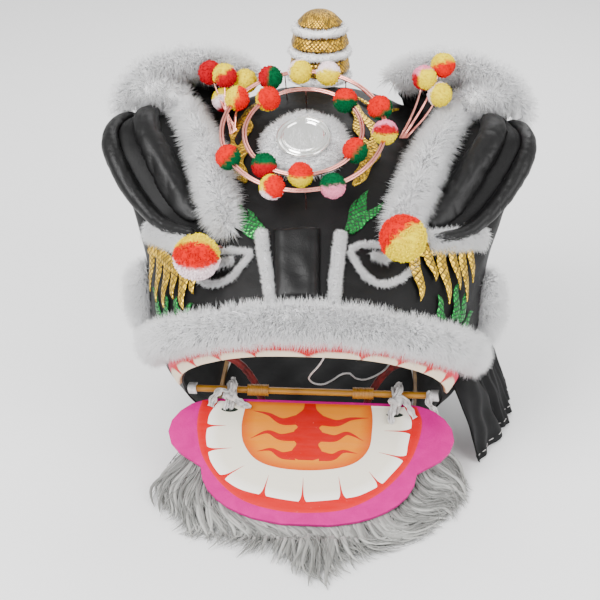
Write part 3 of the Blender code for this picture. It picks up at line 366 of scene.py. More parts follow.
@dataclass
class Piece:
    """One object in the making: points, faces of three or four corners, and what they carry."""

    name: str
    body: Body
    finishes: list
    points: list = field(default_factory=list)
    faces: list = field(default_factory=list)
    paint: list = field(default_factory=list)
    total: int = 0

    def add(self, points: Array, faces: Array, uv: Array | None = None, finish: int = 0,
            paint: Any = (1.0, 1.0, 1.0)) -> None:
        """Adds a surface.

        Args:
            points: its points.
            faces: rows of point numbers, three or four to a face.
            uv: a row of corner places, in metres, for each face.
            finish: which of the piece's finishes it has.
            paint: one colour, or a colour for each point.
        """
        points = np.asarray(points, float).reshape(-1, 3)
        faces = np.asarray(faces)
        if uv is None:
            uv = np.zeros(faces.shape + (2,))
        self.points.append(points)
        self.paint.append(np.broadcast_to(np.asarray(paint, float).reshape(-1, 3), points.shape))
        self.faces.append((faces + self.total, uv, finish))
        self.total += len(points)

    def loft(self, sections: Array, loop: bool = False, size: tuple[float, float] | None = None,
             caps: bool = True, finish: int = 0, paint: Any = (1.0, 1.0, 1.0)) -> None:
        """Adds a closed surface through sections with as many points each.

        Args:
            sections: an array of sections by points by 3.
            loop: whether the last section joins the first.
            size: the surface's length and girth for its UV map, measured if not given.
            caps: whether the ends are closed, by fans from their middles.
            finish: which of the piece's finishes it has.
            paint: one colour, or a colour for each point.
        """
        n, k = sections.shape[:2]
        if size is None:
            size = (np.linalg.norm(np.diff(sections, axis=0), axis=-1).sum(axis=0).max(),
                    np.linalg.norm(np.diff(sections, axis=1), axis=-1).sum(axis=1).max())
        rows = n if loop else n - 1
        quads = grid_faces(n, k, loop)
        i, m = np.meshgrid(np.arange(rows), np.arange(k), indexing="ij")
        u = np.stack([i, i, i + 1, i + 1], axis=-1) * (size[0] / rows)
        v = np.stack([m, m + 1, m + 1, m], axis=-1) * (size[1] / k)
        paint = np.asarray(paint, float)
        if paint.ndim == 3:
            paint = paint.reshape(-1, 3)
        self.add(sections, quads, np.stack([u, v], axis=-1).reshape(-1, 4, 2), finish, paint)
        if loop or not caps:
            return
        start = self.total - n * k
        m = np.arange(k)
        for i, order in ((0, 1), (n - 1, -1)):
            colour = paint if paint.ndim == 1 else paint[i * k]
            middle = np.stack([0 * m, 1 + (m + (order > 0)) % k, 1 + (m + (order < 0)) % k], axis=-1)
            self.points.append(sections[i].mean(axis=0)[None])
            self.paint.append(np.broadcast_to(colour, (1, 3)))
            corners = np.where(middle == 0, self.total, start + i * k + middle - 1)
            self.faces.append((corners, np.zeros(corners.shape + (2,)), finish))
            self.total += 1

    def make(self, outward: bool = True, smooth_angle: float = 60) -> bpy.types.Object:
        """The object, at the origin, riding on its body.

        Args:
            outward: whether to turn the faces of each closed part outwards.
            smooth_angle: edges sharper than this, in degrees, stay sharp.

        Returns:
            The new object.
        """
        mesh = bpy.data.meshes.new(self.name)
        points = np.vstack(self.points).astype(np.float32)
        corners = np.concatenate([f.ravel() for f, _, _ in self.faces]).astype(np.int32)
        sizes = np.concatenate([np.full(len(f), f.shape[1]) for f, _, _ in self.faces])
        mesh.vertices.add(len(points))
        mesh.vertices.foreach_set("co", points.ravel())
        mesh.loops.add(len(corners))
        mesh.loops.foreach_set("vertex_index", corners)
        mesh.polygons.add(len(sizes))
        mesh.polygons.foreach_set("loop_start", np.concatenate([[0], np.cumsum(sizes)[:-1]]).astype(np.int32))
        mesh.polygons.foreach_set("loop_total", sizes.astype(np.int32))
        mesh.polygons.foreach_set("material_index", np.concatenate(
            [np.full(len(f), finish) for f, _, finish in self.faces]).astype(np.int32))
        mesh.update(calc_edges=True)
        mesh.validate()
        layer = mesh.uv_layers.new(name="cloth")
        places = np.concatenate([uv.ravel() for _, uv, _ in self.faces])
        layer.data.foreach_set("uv", places.astype(np.float32))
        colour = mesh.color_attributes.new("paint", "FLOAT_COLOR", "POINT")
        paint = np.hstack([np.vstack(self.paint), np.ones((len(points), 1))])
        colour.data.foreach_set("color", paint.astype(np.float32).ravel())
        if outward:
            work = bmesh.new()
            work.from_mesh(mesh)
            bmesh.ops.recalc_face_normals(work, faces=work.faces)
            work.to_mesh(mesh)
            work.free()
        mesh.shade_smooth()
        if smooth_angle < 180:
            mesh.set_sharp_from_angle(angle=math.radians(smooth_angle))
        for finish in self.finishes:
            mesh.materials.append(finish.material())
        obj = linked(self.name, mesh)
        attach(obj, self.body.value)
        LOG.info("%s: %d faces", self.name, len(mesh.polygons))
        return obj


def stand_for(piece: Piece, node: str, fur: bool = False) -> bpy.types.Object:
    """Makes a piece and lets it stand for a solid.

    Args:
        piece: the piece.
        node: the solid.
        fur: whether it is fur, whose fibres are already turned outwards.

    Returns:
        The new object.
    """
    obj = piece.make(outward=False, smooth_angle=180) if fur else piece.make()
    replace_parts(obj, node)
    return obj


class Shader:
    """The node tree of one material, round its Principled shader."""

    def __init__(self, name: str, **sockets: Any) -> None:
        """Makes the material.

        Args:
            name: the material's name.
            sockets: values for the shader's own sockets, their spaces written as underscores.
        """
        self.made = bpy.data.materials.new(name)
        self.made.use_nodes = True
        self.tree = self.made.node_tree
        self.surface = self.tree.nodes["Principled BSDF"]
        for key, value in sockets.items():
            self.surface.inputs[key.replace("_", " ")].default_value = value

    def node(self, kind: str, inputs: dict | None = None, **settings: Any) -> Any:
        """Adds a node.

        Args:
            kind: its type, without the words ShaderNode.
            inputs: a value or a socket for each named or numbered input.
            settings: its other settings.

        Returns:
            The node.
        """
        made = self.tree.nodes.new("ShaderNode" + kind)
        for key, value in settings.items():
            setattr(made, key, value)
        for key, value in (inputs or {}).items():
            if isinstance(value, bpy.types.NodeSocket):
                self.tree.links.new(value, made.inputs[key])
            else:
                made.inputs[key].default_value = value
        return made

    def mix(self, factor: Any, first: Any, second: Any, blend: str = "MIX") -> Any:
        """The colour socket of a mix of two colours, each a socket or linear numbers."""
        colours = [(*c, 1.0) if isinstance(c, tuple) else c for c in (first, second)]
        made = self.node("Mix", {0: factor, 6: colours[0], 7: colours[1]}, data_type="RGBA", blend_type=blend)
        return made.outputs[2]

    def ramp(self, value: Any, stops: list[tuple[float, float]]) -> Any:
        """The grey that a colour ramp gives for a value, from (place, brightness) stops."""
        made = self.node("ValToRGB", {0: value})
        stop = made.color_ramp.elements
        while len(stop) < len(stops):
            stop.new(0.5)
        for element, (place, grey) in zip(stop, stops):
            element.position = place
            element.color = (grey, grey, grey, 1.0)
        return made.outputs[0]

    def bump(self, height: Any, distance: float, strength: float = 1.0, under: Any = None) -> Any:
        """A bump from a height, on top of the bump under it."""
        inputs = {"Height": height, "Distance": distance, "Strength": strength}
        if under is not None:
            inputs["Normal"] = under
        return self.node("Bump", inputs).outputs[0]

    def join(self, **sockets: Any) -> bpy.types.Material:
        """Links sockets to the shader's inputs and returns the material."""
        for key, value in sockets.items():
            self.tree.links.new(value, self.surface.inputs[key.replace("_", " ")])
        return self.made


@dataclass(frozen=True)
class Finish:
    """A finish: its material is made once."""

    name: str
    slot: str

    def material(self) -> bpy.types.Material:
        """The material of this finish."""
        return bpy.data.materials.get(self.name) or self.draw()

    def draw(self) -> bpy.types.Material:
        """Makes the material."""
        raise NotImplementedError


@dataclass(frozen=True)
class Cloth(Finish):
    """Woven or short pile cloth: a fine grain in its threads, soft creases with painted shade in their
    hollows, and a sheen at its edges.

    The threads are drawn thread_mm apart, coarser than the real 0.3 mm where it has to show."""

    colour: str
    # the colour painted into the creases' hollows as shade
    shade: str
    roughness: float = 0.6
    sheen: float = 0.3
    thread_mm: float = 1.2
    crease_mm: float = 40.0
    crease: float = 0.0015
    gloss: float = 0.5

    def draw(self) -> bpy.types.Material:
        """Noise stretched into creases, whose hollows take the shade colour as painted shade, over a fine
        noise for the threads.
        """
        s = Shader(self.name, Roughness=self.roughness, Sheen_Weight=self.sheen, Sheen_Roughness=0.4,
                   Specular_IOR_Level=self.gloss)
        place = s.node("TexCoord").outputs["Object"]
        crease = s.node("TexNoise", {"Vector": place, "Scale": 1000 / self.crease_mm, "Detail": 3.0,
                                     "Distortion": 0.8}).outputs[0]
        thread = s.node("TexNoise", {"Vector": place, "Scale": 1000 / self.thread_mm,
                                     "Detail": 2.0}).outputs[0]
        # painted shade: the colour falls to the shade colour where the crease bump is lowest
        wear_and_crease_shade = s.mix(s.ramp(crease, [(0.35, 0.0), (0.7, 1.0)]), linear(self.shade), linear(self.colour))
        grain = s.mix(0.35, wear_and_crease_shade, thread, "MULTIPLY")
        bump = s.bump(thread, 0.0006, 0.6, s.bump(crease, self.crease))
        return s.join(Base_Color=s.mix(0.4, wear_and_crease_shade, grain), Normal=bump)


@dataclass(frozen=True)
class Fur(Finish):
    """Synthetic fur or hair: matt fibres, each its own shade, with painted shade darker towards the root.

    The paint attribute holds each fibre's shade, so neighbours part from each other."""

    light: str
    dark: str
    roughness: float = 0.75
    sheen: float = 0.4
    glow: float = 0.0

    def draw(self) -> bpy.types.Material:
        """A mix of the dark and the light colour by the fibre's own shade."""
        s = Shader(self.name, Roughness=self.roughness, Sheen_Weight=self.sheen, Sheen_Roughness=0.5,
                   Subsurface_Weight=self.glow, Subsurface_Radius=(1.0, 1.0, 1.0), Subsurface_Scale=0.010)
        shade = s.node("Attribute", attribute_name="paint").outputs["Fac"]
        place = s.node("TexCoord").outputs["Object"]
        patch = s.node("TexNoise", {"Vector": place, "Scale": 45.0, "Detail": 4.0}).outputs[0]
        fine = s.node("TexNoise", {"Vector": place, "Scale": 900.0}).outputs[0]
        colour = s.mix(shade, linear(self.dark), linear(self.light))
        dim = s.mix(s.ramp(patch, [(0.3, 0.95), (0.55, 1.0)]), linear("#000000"), colour)
        return s.join(Base_Color=dim, Normal=s.bump(fine, 0.0008, 0.5))


@dataclass(frozen=True)
class Sequins(Finish):
    """Sequin mesh: small bright metal plates in a diamond net, each with its own painted shade for
    a tilt of its own, with the dark net showing between them. The plates are size_mm across, drawn at the real
    size."""

    metal: str
    net: str
    size_mm: float
    cover: float = 0.40
    # the brightness of the most shaded plate: painted shade for its tilt
    flat: float = 0.5

    def draw(self) -> bpy.types.Material:
        """Diamond cells on the UV map, a plate in the middle of each."""
        s = Shader(self.name, Roughness=0.28)
        place = s.node("TexCoord").outputs["UV"]
        turned = s.node("Mapping", {"Vector": place, "Rotation": (0, 0, math.radians(45)),
                                    "Scale": (1000 / self.size_mm,) * 2 + (1.0,)}).outputs[0]
        cell = s.node("TexVoronoi", {"Vector": turned, "Scale": 1.0, "Randomness": 0.12},
                      distance="CHEBYCHEV", voronoi_dimensions="2D")
        plate = s.ramp(cell.outputs["Distance"], [(self.cover, 1.0), (self.cover + 0.06, 0.0)])
        own = s.node("SeparateColor", {0: cell.outputs["Color"]}).outputs[0]
        # painted shade: each plate's metal colour is darkened by its own random amount, down to flat
        plate_shade_painted = s.mix(s.ramp(own, [(0.0, self.flat), (1.0, 1.0)]), linear("#1a1402"), linear(self.metal))
        metal = s.node("Math", {0: plate, 1: 0.9}, operation="MULTIPLY").outputs[0]
        rough = s.mix(plate, (0.7, 0.7, 0.7), s.ramp(own, [(0.0, 0.16), (1.0, 0.42)]))
        return s.join(Base_Color=s.mix(plate, linear(self.net), plate_shade_painted), Metallic=metal, Roughness=rough,
                      Normal=s.bump(cell.outputs["Distance"], 0.0012, 0.8))


@dataclass(frozen=True)
class Painted(Finish):
    """Brushed gloss paint on board or cloth. The paint attribute holds the colour, and long faint
    strokes and a few specks of wear break it up."""

    roughness: float = 0.32
    coat: float = 0.25
    grain: float = 0.06
    speck: float = 0.5
    gloss: float = 0.3

    def draw(self) -> bpy.types.Material:
        """The painted colour, shaded by stretched noise."""
        s = Shader(self.name, Roughness=self.roughness, Coat_Weight=self.coat, Coat_Roughness=0.2,
                   Specular_IOR_Level=self.gloss)
        colour = s.node("Attribute", attribute_name="paint").outputs["Color"]
        place = s.node("TexCoord").outputs["Object"]
        long = s.node("Mapping", {"Vector": place, "Scale": (22.0, 160.0, 90.0)}).outputs[0]
        stroke = s.node("TexNoise", {"Vector": long, "Scale": 1.0, "Detail": 5.0}).outputs[0]
        speck = s.node("TexNoise", {"Vector": place, "Scale": 420.0, "Detail": 2.0}).outputs[0]
        pale = s.mix(s.ramp(stroke, [(0.3, 0.0), (0.75, 2 * self.grain)]), colour, linear("#ffffff"))
        wear_and_crease_shade = s.mix(s.ramp(speck, [(0.74, 0.0), (0.80, self.speck)]), pale, linear("#ffffff"))
        return s.join(Base_Color=wear_and_crease_shade, Normal=s.bump(stroke, 0.0006, 0.5))


@dataclass(frozen=True)
class Bamboo(Finish):
    """Varnished bamboo or cane: long fine fibres along the cane, darker at its joints."""

    colour: str
    dark: str
    along: tuple[float, float, float]

    def draw(self) -> bpy.types.Material:
        """Noise drawn out along the cane, and bands across it."""
        s = Shader(self.name, Roughness=0.42, Coat_Weight=0.2, Coat_Roughness=0.25)
        place = s.node("TexCoord").outputs["Object"]
        long = s.node("Mapping", {"Vector": place, "Scale": self.along}).outputs[0]
        fibre = s.node("TexNoise", {"Vector": long, "Scale": 1.0, "Detail": 4.0}).outputs[0]
        patch = s.node("TexNoise", {"Vector": place, "Scale": 30.0, "Detail": 2.0}).outputs[0]
        both = s.mix(0.5, s.ramp(fibre, [(0.35, 0.0), (0.65, 1.0)]), s.ramp(patch, [(0.3, 0.0), (0.7, 1.0)]))
        return s.join(Base_Color=s.mix(both, linear(self.dark), linear(self.colour)),
                      Normal=s.bump(fibre, 0.0005, 0.6))


@dataclass(frozen=True)
class Metal(Finish):
    """Polished or lacquered metal, faintly scratched and fingered."""

    colour: str
    roughness: float = 0.12

    def draw(self) -> bpy.types.Material:
        """Roughness from a soft noise, and hair scratches as bump."""
        s = Shader(self.name, Base_Color=(*linear(self.colour), 1.0), Metallic=1.0)
        place = s.node("TexCoord").outputs["Object"]
        smear = s.node("TexNoise", {"Vector": place, "Scale": 60.0, "Detail": 3.0}).outputs[0]
        scratch = s.node("TexNoise", {"Vector": place, "Scale": 700.0, "Detail": 2.0}).outputs[0]
        rough = s.ramp(smear, [(0.3, self.roughness * 0.6), (0.7, self.roughness * 1.6)])
        return s.join(Roughness=rough, Normal=s.bump(scratch, 0.0002, 0.25))


# The second colour of each cloth is the painted shade in its creases.
BLACK_CLOTH = Cloth("black_satin_cloth", "black_satin", "#0a090a", "#030303", 0.50, 0.0, 1.2, 45.0,
                    0.0015, 0.18)
BLACK_PLUSH = Cloth("black_short_plush", "black_satin", "#080708", "#030303", 0.42, 0.02, 1.6, 40.0,
                    0.0016, 0.26)
BLACK_COTTON = Cloth("black_cotton", "black_satin", "#161617", "#0c0c0d", 0.8, 0.05, 1.4, 50.0, 0.0015, 0.2)
WHITE_COTTON = Cloth("white_cotton_tape", "white_cloth", "#e9e6e4", "#b9b4b2", 0.85, 0.2, 1.3, 12.0, 0.0012)
RED_TAPE = Cloth("red_cloth_tape", "red_tape", "#a3241f", "#5c100e", 0.55, 0.2, 1.3, 15.0)
WHITE_FUR = Fur("white_faux_fur", "white_fur", "#ffffff", "#faf8ff", 1.0, 1.0, 0.9)
GREY_HAIR = Fur("silver_grey_hair", "grey_hair", "#adada8", "#3a3b38", 0.40, 0.3)
YARN = Painted("pompom_yarn_pile", "pompom_yarn", 1.0, 0.0, 0.0, 0.0, 0.1)
GOLD = Sequins("gold_sequin_net", "gold_sequin", "#ffcf30", "#3a2703", 5.6, 0.37, 0.40)
HORN_GOLD = Sequins("gold_horn_sequins", "gold_sequin", "#f2bb2c", "#060401", 4.6, 0.36, 0.35)
GREEN = Sequins("green_sequin_net", "green_sequin", "#12a545", "#03140a", 5.2, 0.33, 0.5)
GUM = Painted("painted_lip_cloth", "lip_cloth", 0.6, 0.0, 0.01, 0.2, 0.2)
BOARD_PAINT = Painted("gloss_board_paint", "pink_board", 0.40, 0.0, 0.008, 0.4, 0.25)
CANE = Bamboo("varnished_bamboo", "bamboo", "#c98d1d", "#8a5508", (18.0, 700.0, 700.0))
HOOP_CANE = Bamboo("split_cane", "bamboo", "#b98a45", "#7d5420", (60.0, 60.0, 600.0))
BINDING = Bamboo("waxed_binding", "bamboo", "#bb8120", "#7c4c07", (500.0, 60.0, 60.0))
CHROME = Metal("polished_mirror_steel", "mirror_metal", "#eeeeea", 0.10)
COPPER = Metal("pink_lacquered_wire", "pompom_yarn", "#e39a8e", 0.22)


def nearest(points: Array, others: Array) -> Array:
    """For each point the number of the nearest other point, found in small parts to spare memory."""
    long = (others**2).sum(axis=1)
    parts = np.array_split(points, max(len(points) // 400, 1))
    return np.concatenate([(long - 2 * part @ others.T).argmin(axis=1) for part in parts])


@dataclass
class Skin:
    """Triangles that fur grows from."""

    points: Array
    normals: Array
    triangles: Array
    # A fibre this long has to end this high above the head, and may look down at it by this cosine;
    # triangles this far away are clear of it.
    fibre: float = 0.020
    height: float = 0.003
    look_down: float = -0.25
    far: float = 0.035

    @classmethod
    def of_mesh(cls, mesh: bpy.types.Mesh) -> "Skin":
        """The skin of a mesh."""
        mesh.calc_loop_triangles()
        points = np.empty(len(mesh.vertices) * 3, np.float32)
        normals = np.empty(len(mesh.vertices) * 3, np.float32)
        triangles = np.empty(len(mesh.loop_triangles) * 3, np.int32)
        mesh.vertices.foreach_get("co", points)
        mesh.vertex_normals.foreach_get("vector", normals)
        mesh.loop_triangles.foreach_get("vertices", triangles)
        return cls(points.reshape(-1, 3).astype(float), normals.reshape(-1, 3).astype(float),
                   triangles.reshape(-1, 3))

    def outside(self) -> Array:
        """Which triangles are clear of the head, or grow fibres that end above its surface."""
        t, a = np.meshgrid(np.linspace(0, 11, 90), np.linspace(-2, 2, 160), indexing="ij")
        near, away = HEAD.at(t, a).reshape(-1, 3), HEAD.normal(t, a).reshape(-1, 3)
        corners = self.points[self.triangles]
        middle = corners.mean(axis=1)
        facing = unit(np.cross(corners[:, 1] - corners[:, 0], corners[:, 2] - corners[:, 0]))
        found = nearest(middle, near)
        clear = np.linalg.norm(middle - near[found], axis=1) > self.far
        upward = (facing * away[found]).sum(axis=-1)
        height = ((middle - near[found]) * away[found]).sum(axis=-1)
        return ((upward > self.look_down) & (height + self.fibre * upward > self.height)) | clear

    def sample(self, count: int, keep: Array, random: np.random.Generator) -> tuple[Array, Array]:
        """Roots spread evenly by area.

        Args:
            count: how many.
            keep: which triangles may hold one.
            random: the source of chance.

        Returns:
            The roots and the skin's normals there.
        """
        corners = self.triangles[keep]
        p = self.points[corners]
        area = np.linalg.norm(np.cross(p[:, 1] - p[:, 0], p[:, 2] - p[:, 0]), axis=1)
        pick = random.choice(len(corners), count, p=area / area.sum())
        u, v = random.random((2, count))
        over = u + v > 1
        u, v = np.where(over, 1 - u, u)[:, None], np.where(over, 1 - v, v)[:, None]

        def weighed(values: Array) -> Array:
            """A value inside each triangle from those at its corners."""
            return values[:, 0] * (1 - u - v) + values[:, 1] * u + values[:, 2] * v

        return weighed(p[pick]), unit(weighed(self.normals[corners[pick]]))


@dataclass(frozen=True)
class Coat:
    """How a pile of fur stands: its length, its thickness and how it leans."""

    count: int
    length: float
    width: float
    lean: tuple[float, float, float] = (0.0, 0.0, -0.35)
    stray: float = 0.34
    tuft: float = 0.22
    droop: float = 0.25

    def grow(self, piece: Piece, roots: Array, normals: Array, random: np.random.Generator,
             finish: int = 0, paint: Array | None = None) -> None:
        """Adds fibres to a piece as thin three-sided spikes.

        A fibre leaves its root along the normal, bent by the lean and by chance, and its tip sags and
        is drawn towards the tip of its tuft, the nearest of a few chosen fibres.

        Args:
            piece: takes the fibres.
            roots: where they start.
            normals: the skin's normals there.
            random: the source of chance.
            finish: which of the piece's finishes they have.
            paint: a colour for each fibre, or none for shades of grey.
        """
        n = len(roots)
        way = unit(normals + np.array(self.lean) + self.stray * random.normal(size=(n, 3)))
        long = self.length * random.uniform(0.55, 1.25, n)[:, None]
        tips = roots + way * long
        heads = random.choice(n, max(n // 22, 1), replace=False)
        pull = tips[heads][nearest(roots, roots[heads])] - tips
        tips = tips + pull * self.tuft * random.uniform(0.5, 1.2, (n, 1))
        way = tips - roots
        axis = unit(way)
        side = unit(np.cross(axis, random.normal(size=(n, 3))))
        other = np.cross(axis, side)
        sag = np.array([0, 0, -1.0]) * self.droop * self.length
        turn = np.arange(3) * 2 * math.pi / 3
        ring = side[:, None] * np.cos(turn)[:, None] + other[:, None] * np.sin(turn)[:, None]
        points = np.concatenate([roots[:, None] + ring * self.width / 2, (tips + sag)[:, None]], axis=1)
        # Each fibre gets a random shade, and its root ring painted shade at 0.85 of it, 0.8 on coloured yarn.
        if paint is None:
            shade = random.uniform(0.6, 1.0, n)[:, None] * np.array([0.85, 0.85, 0.85, 1.0])
            colours = np.repeat(shade[..., None], 3, axis=-1)
        else:
            shade = random.uniform(0.86, 1.08, n)[:, None, None] * np.array([0.8, 0.8, 0.8, 1.0])[:, None]
            colours = paint[:, None] * shade
        sides = np.array([[0, 1, 3], [1, 2, 3], [2, 0, 3], [0, 2, 1]])
        faces = (4 * np.arange(n)[:, None, None] + sides).reshape(-1, 3)
        piece.add(points, faces, None, finish, colours.reshape(-1, 3))


def merged_copy(node: str) -> bpy.types.Mesh:
    """A copy of a solid's mesh with its loose corners joined."""
    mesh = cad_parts[node].data.copy()
    work = bmesh.new()
    work.from_mesh(mesh)
    bmesh.ops.remove_doubles(work, verts=work.verts, dist=1e-5)
    work.to_mesh(mesh)
    work.free()
    mesh.materials.clear()
    return mesh


def finished_mesh(mesh: bpy.types.Mesh, modifiers: list[tuple[str, dict]]) -> bpy.types.Mesh:
    """A mesh with modifiers applied.

    Args:
        mesh: the mesh, which is used up.
        modifiers: each one's type and settings.

    Returns:
        The new mesh.
    """
    obj = linked("work", mesh)
    for kind, settings in modifiers:
        modifier = obj.modifiers.new(kind.lower(), kind)
        for key, value in settings.items():
            setattr(modifier, key, value)
    bpy.context.view_layer.update()
    made = bpy.data.meshes.new_from_object(obj.evaluated_get(bpy.context.evaluated_depsgraph_get()))
    bpy.data.objects.remove(obj)
    return made


def faces_of(mesh: bpy.types.Mesh) -> Array:
    """The faces of a mesh whose faces all have four corners."""
    corners = np.empty(len(mesh.loops), np.int32)
    mesh.loops.foreach_get("vertex_index", corners)
    return corners.reshape(-1, 4)


@dataclass
class FurTrim:
    """The white fur on the solids that hold it: a smoothed skin with pile growing from it."""

    coats: dict = field(default_factory=lambda: {
        # node, or its start where a star stands for left and right: its coat, and the skin's inset
        "muzzle_fur": (Coat(24000, 0.021, 0.0013, (0.0, -0.25, 0.40)), 0.010),
        "brow_fur*": (Coat(9000, 0.024, 0.0013, (0.0, -0.1, -0.05)), 0.006),
        "ear_fur*": (Coat(8000, 0.024, 0.0013, (0.0, 0.0, 0.05)), 0.001),
        "cheek_fur*": (Coat(5500, 0.024, 0.0013, (0.0, -0.1, -0.05)), 0.001),
        "mirror_fur": (Coat(5500, 0.011, 0.0012, (0.0, -0.1, 0.0), 0.4), 0.001),
        "horn_fur*": (Coat(1900, 0.0045, 0.0011, (0.0, 0.0, 0.1), 0.4, 0.2, 0.0), 0.0),
    })

    spur_coat: Coat = Coat(3200, 0.022, 0.0013, (0, -0.2, 0.1))
    ear_roll_coat: Coat = Coat(2200, 0.020, 0.0013, (0, -0.1, 0.1))
    spur: list = field(default_factory=lambda: [
        # x, y, z of the band's upper end, where it curls into the ear's fur
        (0.262, 0.018, 0.550), (0.300, 0.032, 0.540)])

    @staticmethod
    def roll(piece: Piece, path: Array, radius: float, coat: Coat, random: np.random.Generator) -> None:
        """Adds a round roll of fur along a path, rounded off at both ends.

        Args:
            piece: takes it.
            path: its middle line.
            radius: its skin's radius.
            coat: its pile.
            random: the source of chance.
        """
        s = np.linspace(0.02, 0.98, len(path))
        sections = tube(path, radius * np.sin(math.pi * s) ** 0.35, 12)
        piece.loft(sections, paint=(1.0,) * 3)
        around = unit(sections - path[:, None]).reshape(-1, 3)
        skin = Skin(sections.reshape(-1, 3), around, halves(grid_faces(*sections.shape[:2])))
        roots, normals = skin.sample(coat.count, skin.outside(), random)
        coat.grow(piece, roots, normals, random)

    def build(self) -> None:
        """Makes every fur piece."""
        for seed, (start, (coat, inset)) in enumerate(self.coats.items()):
            names = [start]
            if start.endswith("*"):
                names = sorted(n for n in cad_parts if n.startswith(start[:-1]))
            for offset, name in enumerate(names):
                self.dress(name, coat, inset, 100 + 7 * seed + offset)

    def dress(self, name: str, coat: Coat, inset: float, seed: int) -> None:
        """Makes one fur piece in the place of its solid.

        Args:
            name: the solid.
            coat: its pile.
            inset: how far the skin lies below the solid, to leave room for the pile.
            seed: the source of chance.
        """
        random = np.random.default_rng(seed)
        mesh = finished_mesh(merged_copy(name), [("SUBSURF", {"levels": 1, "render_levels": 1})])
        skin = Skin.of_mesh(mesh)
        skin.points += skin.normals * (ripple(skin.points, 0.03, seed) * 0.0015 - inset)[:, None]
        piece = Piece(f"{name}_pile", Body.HEAD, [WHITE_FUR])
        piece.add(skin.points, faces_of(mesh), paint=(1.0,) * 3)
        roots, normals = skin.sample(coat.count, skin.outside(), random)
        coat.grow(piece, roots, normals, random)
        side = -1 if name.endswith("left") else 1
        if name.startswith("brow"):
            route = [HEAD.lifted(7.5, 0.55 * side, 0.010), HEAD.lifted(8.2, 0.62 * side, 0.020)]
            route += [np.array([side * x, y, z]) + SHIFT for x, y, z in self.spur]
            self.roll(piece, smooth(route, 30), 0.019, self.spur_coat, random)
        if name.startswith("ear"):
            route = [np.array([side * x, y, z]) + SHIFT for x, y, z in EAR_RIM[:3]]
            self.roll(piece, smooth(route, 16), 0.016, self.ear_roll_coat, random)
        stand_for(piece, name, fur=True)


